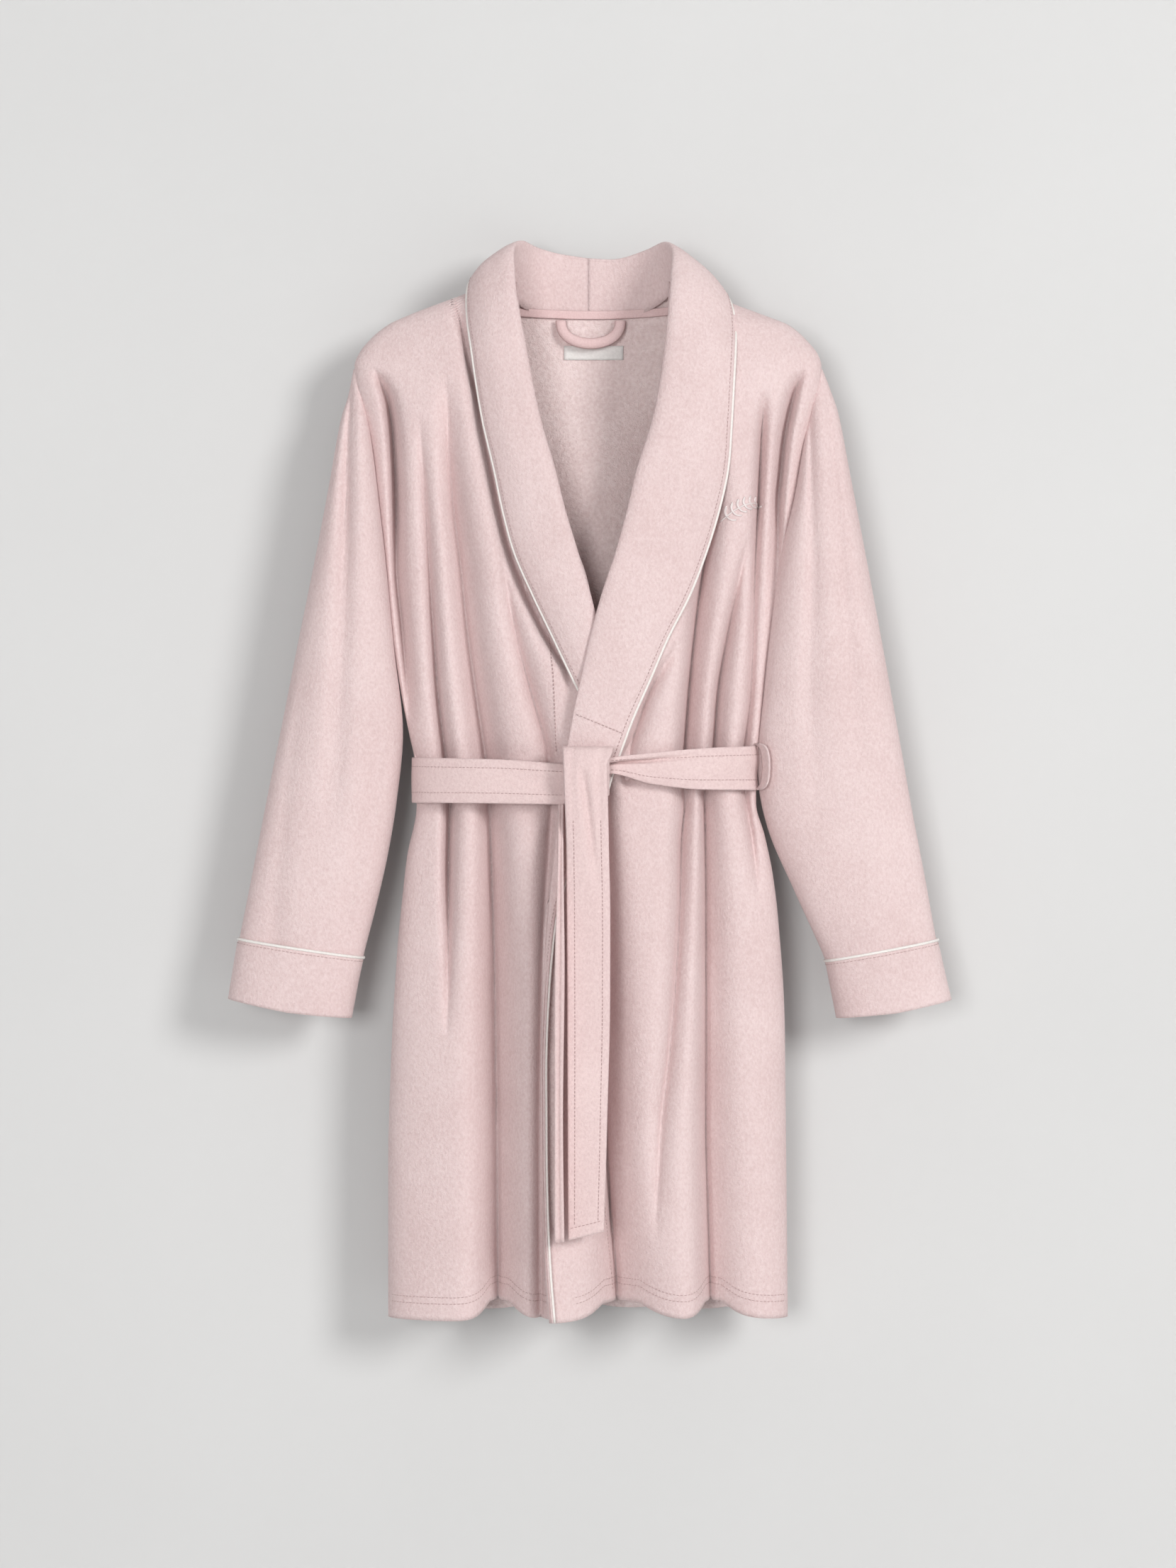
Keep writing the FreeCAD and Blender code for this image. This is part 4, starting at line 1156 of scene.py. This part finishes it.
def motif():
    """A plain sprig of leaves in satin stitch, at a place on the left chest."""
    parts = []
    centre_x = 141.0
    centre_z = -190.0

    def lay(points, radius):
        placed = []
        for u, w in points:
            x = centre_x + u
            z = centre_z + w
            placed.append((x, float(front_y(np.array(x), np.array(z))) - 0.6, z))
        parts.append(tube("sprig", placed, radius, MOTIF, 6))

    stem = [(-16 + 36 * t, -10 + 18 * t + 4 * math.sin(3 * t)) for t in np.linspace(0, 1, 20)]
    lay(stem, 0.7)
    for k in range(3, 19, 3):
        u, w = stem[k]
        for flip in (1, -1):
            lean = math.radians(35 + flip * 55)
            length = 10.5 - 0.24 * k
            leaf = []
            for t in np.linspace(0, 1, 9):
                bow = 1.6 * math.sin(math.pi * t) * flip
                along = np.array([math.cos(lean), math.sin(lean)]) * length * t
                leaf.append((u + along[0] - bow * math.sin(lean), w + along[1] + bow * math.cos(lean)))
            lay(leaf, 0.8)
            leaf = [(a + 0.9, b - 0.4) for a, b in leaf[:-1]]
            lay(leaf, 0.6)
    return join("chest_motif_thread", parts)


chest_motif = motif()


# ---------------------------------------------------------------- stitched rows


def on_front(x, z, sink=0.0, out=0.2):
    return np.stack([x, front_y(x, z, sink) - out, z], axis=1)


# How far the rows of stitches are above the hem, and how far the ends of a row are from the middle.
HEM_ROWS = (16, 22)
HEM_REACH = 186.0


def hem_row(side, edge, sink, up):
    x = np.linspace(side * HEM_REACH, float(edge(HEM)) + side * 3, 240)
    z = HEM_DROP(front_fold(x, np.full_like(x, HEM))) + up
    row = on_front(x, z, sink, 0.1)
    if side < 0:
        row[:, 1] += tucked(x, z)
    return row


def back_hem_row(up):
    x = np.linspace(-184, 184, 400)
    z = HEM_DROP(back_fold(x, np.full_like(x, HEM))) + up
    return np.stack([x, back_y(x, z) + 0.1, z], axis=1)


rows_left = [stitches(hem_row(1, LEFT_EDGE, 0, up)) for up in HEM_ROWS]
rows_right = [stitches(hem_row(-1, RIGHT_EDGE, UNDERLAP, up)) for up in HEM_ROWS]
left_stitches = join("left_front_stitching", rows_left)
right_stitches = join("right_front_stitching", rows_right)
back_stitches = join("back_stitching", [stitches(back_hem_row(up)) for up in HEM_ROWS])

belt_stitch = {}
for side, grid, word in ((-1, belt_right_grid, "right"), (1, belt_left_grid, "left")):
    parts = []
    for line in grid[[6, 23]]:
        away = line - np.array([0, MID_Y, 0])
        away[:, 2] = 0
        away /= np.linalg.norm(away, axis=1, keepdims=True)
        parts.append(stitches((line + away * 0.15)[4:]))
    belt_stitch[side] = join("belt_band_%s_stitching" % word, parts)
tail_parts = [stitches(fall_grid[46:-4, column] - np.array([0, 0.1, 0])) for column in (5, 23)]
tail_parts.append(stitches(fall_grid[-5, 2:-2] - np.array([0, 0.1, 0])))
tail_stitching = join("belt_tail_stitching", tail_parts)


def over(grid, x, z, out=0.3):
    """Points on the front of a grid's surface at the given places."""
    flat = grid.reshape(-1, 3)
    placed = []
    for a, c in zip(x, z):
        away = (flat[:, 0] - a) ** 2 + (flat[:, 2] - c) ** 2
        near = np.argsort(away)[:6]
        placed.append((a, flat[near, 1].min() - out, c))
    return np.array(placed)


# The piped edge is this column of a collar's grid, and the stitches are this far in from it.
EDGE_COLUMN = 4
EDGE_MARGIN = 4.2
collar_stitching = {}
for side, word, first, last in ((-1, "right", 34, 176), (1, "left", 30, 178)):
    grid = grids[side]
    edge_row = []
    for row in grid[first:last, EDGE_COLUMN:]:
        edge_row.append(point_at(row, run_along(row), EDGE_MARGIN))
    edge_row = np.array(edge_row)
    face = grid[first:last, 12] - grid[first:last, EDGE_COLUMN]
    turned = np.cross(face, np.gradient(edge_row, axis=0))
    turned /= np.linalg.norm(turned, axis=1, keepdims=True)
    turned *= np.where(turned[:, 1:2] > 0, -1, 1)
    parts = [stitches(edge_row + turned * 0.1)]
    if side > 0:
        seam_x = np.linspace(-11, 33, 30)
        parts.append(stitches(over(grid[60:190, 4:28], seam_x, -382 - (seam_x + 12) * 0.41)))
    collar_stitching[side] = join("collar_%s_stitching" % word, parts)

facing_z = np.linspace(-306, -420, 60)
facing_x = profile((-306, -37.5), (-344, -33), (-420, -30))(facing_z)
facing_row = on_front(facing_x, facing_z, UNDERLAP, -4.2)
facing_row[:, 1] += tucked(facing_x, facing_z) - 5.0
low_z = np.linspace(-848, -930, 40)
low_row = on_front(profile((-850, 16), (-930, 24))(low_z), low_z, 0, 0.1)
front_seams = join("front_seam_stitching", [stitches(facing_row), stitches(low_row)])

cuff_stitching = {}
for side, word in SIDES:
    cuff_stitching[side] = join("%s_cuff_stitching" % word, [stitches(cuff_rows[side])])


# ---------------------------------------------------------------- riding on bodies

ROBE = "robe_body"


def settle(piece, body, slot, *nodes):
    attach(piece, body)
    if nodes:
        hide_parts(*nodes)


# Pieces that ride on the robe's body first, then the rest.
for piece, slot, *nodes in (
    (left_front, "velour", "left_front_panel"),
    (right_front, "velour", "right_front_panel"),
    (back, "velour", "back_panel"),
    (left_facing, "velour_reverse", "left_front_facing"),
    (right_facing, "velour_reverse", "right_front_facing"),
    (neck_tape, "loop_tape", "neck_tape"),
    (label, "label_weave", "woven_label"),
    (chest_motif, "thread", "chest_embroidery"),
    (belt_right, "belt_velour", "belt_band"),
    (belt_left, "belt_velour", "belt_band"),
    (knot, "belt_velour", "belt_knot"),
    (left_stitches, "thread"),
    (right_stitches, "thread"),
    (back_stitches, "thread"),
    (front_seams, "thread"),
):
    settle(piece, ROBE, slot, *nodes)
settle(rear_tail, "tail_rear_body", "belt_velour", "belt_tail_rear")
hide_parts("hanging_loop")
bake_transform(hanging_loop)
for piece, slot in ((front_tail, "belt_velour"), (tail_stitching, "thread")):
    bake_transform(piece)
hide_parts("belt_tail_front")
for side, word in SIDES:
    body = "%s_sleeve_body" % word
    settle(collars[side], ROBE, "velour", "collar_%s" % word)
    settle(pipes[side], ROBE, "piping_satin", "collar_piping_%s" % word)
    settle(carriers[side], ROBE, "velour", "belt_carrier_%s" % word)
    settle(belt_stitch[side], ROBE, "thread")
    settle(collar_stitching[side], ROBE, "thread")
    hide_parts("%s_sleeve" % word)
    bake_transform(sleeves[side])
    settle(cuffs[side], body, "velour", "%s_cuff" % word)
    settle(cuff_pipes[side], body, "piping_satin", "%s_cuff_piping" % word)
    settle(cuff_stitching[side], body, "thread")


# ---------------------------------------------------------------- room, light and camera


PAINT = ((0.64, 0.64, 0.638), (0.66, 0.66, 0.658))


def wall_material():
    """The wall shows from the robe's side only, so that views from behind see past it."""
    material = plain("wall_paint", *PAINT)
    tree = material.node_tree
    shader = tree.nodes["Principled BSDF"]
    output = tree.nodes["Material Output"]
    clear = node(tree, "ShaderNodeBsdfTransparent")
    mix = node(tree, "ShaderNodeMixShader")
    side = node(tree, "ShaderNodeNewGeometry").outputs["Backfacing"]
    tree.links.new(side, mix.inputs["Fac"])
    tree.links.new(shader.outputs["BSDF"], mix.inputs[1])
    tree.links.new(clear.outputs["BSDF"], mix.inputs[2])
    tree.links.new(mix.outputs["Shader"], output.inputs["Surface"])
    return material


def sheet_plane(name, corners, material):
    mesh = bpy.data.meshes.new(name)
    mesh.from_pydata(corners, [], [[0, 1, 2, 3]])
    mesh.materials.append(material)
    made = bpy.data.objects.new(name, mesh)
    bpy.context.scene.collection.objects.link(made)
    return made


WALL_Y = 0.03
FLOOR_Z = -1.7
sheet_plane(
    "wall",
    [(-4, WALL_Y, FLOOR_Z), (4, WALL_Y, FLOOR_Z), (4, WALL_Y, 3), (-4, WALL_Y, 3)],
    wall_material(),
)
sheet_plane(
    "floor",
    [(-5, -6, FLOOR_Z), (5, -6, FLOOR_Z), (5, 5, FLOOR_Z), (-5, 5, FLOOR_Z)],
    plain("floor_paint", *PAINT),
)


def area_light(name, place, target, size, watts, colour):
    data = bpy.data.lights.new(name, "AREA")
    data.shape = "DISK"
    data.size = size
    data.energy = watts
    data.color = colour
    made = bpy.data.objects.new(name, data)
    made.location = place
    made.rotation_euler = (Vector(target) - Vector(place)).to_track_quat("-Z", "Y").to_euler()
    bpy.context.scene.collection.objects.link(made)


WARM_WHITE = (1, 0.99, 0.98)
SOFT_WHITE = (1, 0.995, 0.99)
area_light("key", (4.0, -5.4, 1.4), (0, 0, -0.45), 2.2, 245, WARM_WHITE)
area_light("fill", (-1.7, -7.0, -0.1), (0, 0, -0.5), 2.4, 195, SOFT_WHITE)
area_light("rear", (1.6, 6.0, 1.6), (0, 0, -0.45), 3.0, 150, SOFT_WHITE)
world = bpy.data.worlds.new("soft_room")
world.use_nodes = True
set_inputs(world.node_tree.nodes["Background"], Color=(1, 1, 1, 1), Strength=0.32)
bpy.context.scene.world = world
bpy.context.scene.view_settings.view_transform = "Standard"

# The camera looks straight at the front, level with the middle of the robe.
CAMERA_LENS = 87.6
CAMERA_AWAY = 3.67
CAMERA_Z = -0.4477
camera_data = bpy.data.cameras.new("camera")
camera_data.lens = CAMERA_LENS
camera = bpy.data.objects.new("camera", camera_data)
camera.location = (0, -CAMERA_AWAY, CAMERA_Z)
camera.rotation_euler = (math.pi / 2, 0, 0)
bpy.context.scene.collection.objects.link(camera)
bpy.context.scene.camera = camera

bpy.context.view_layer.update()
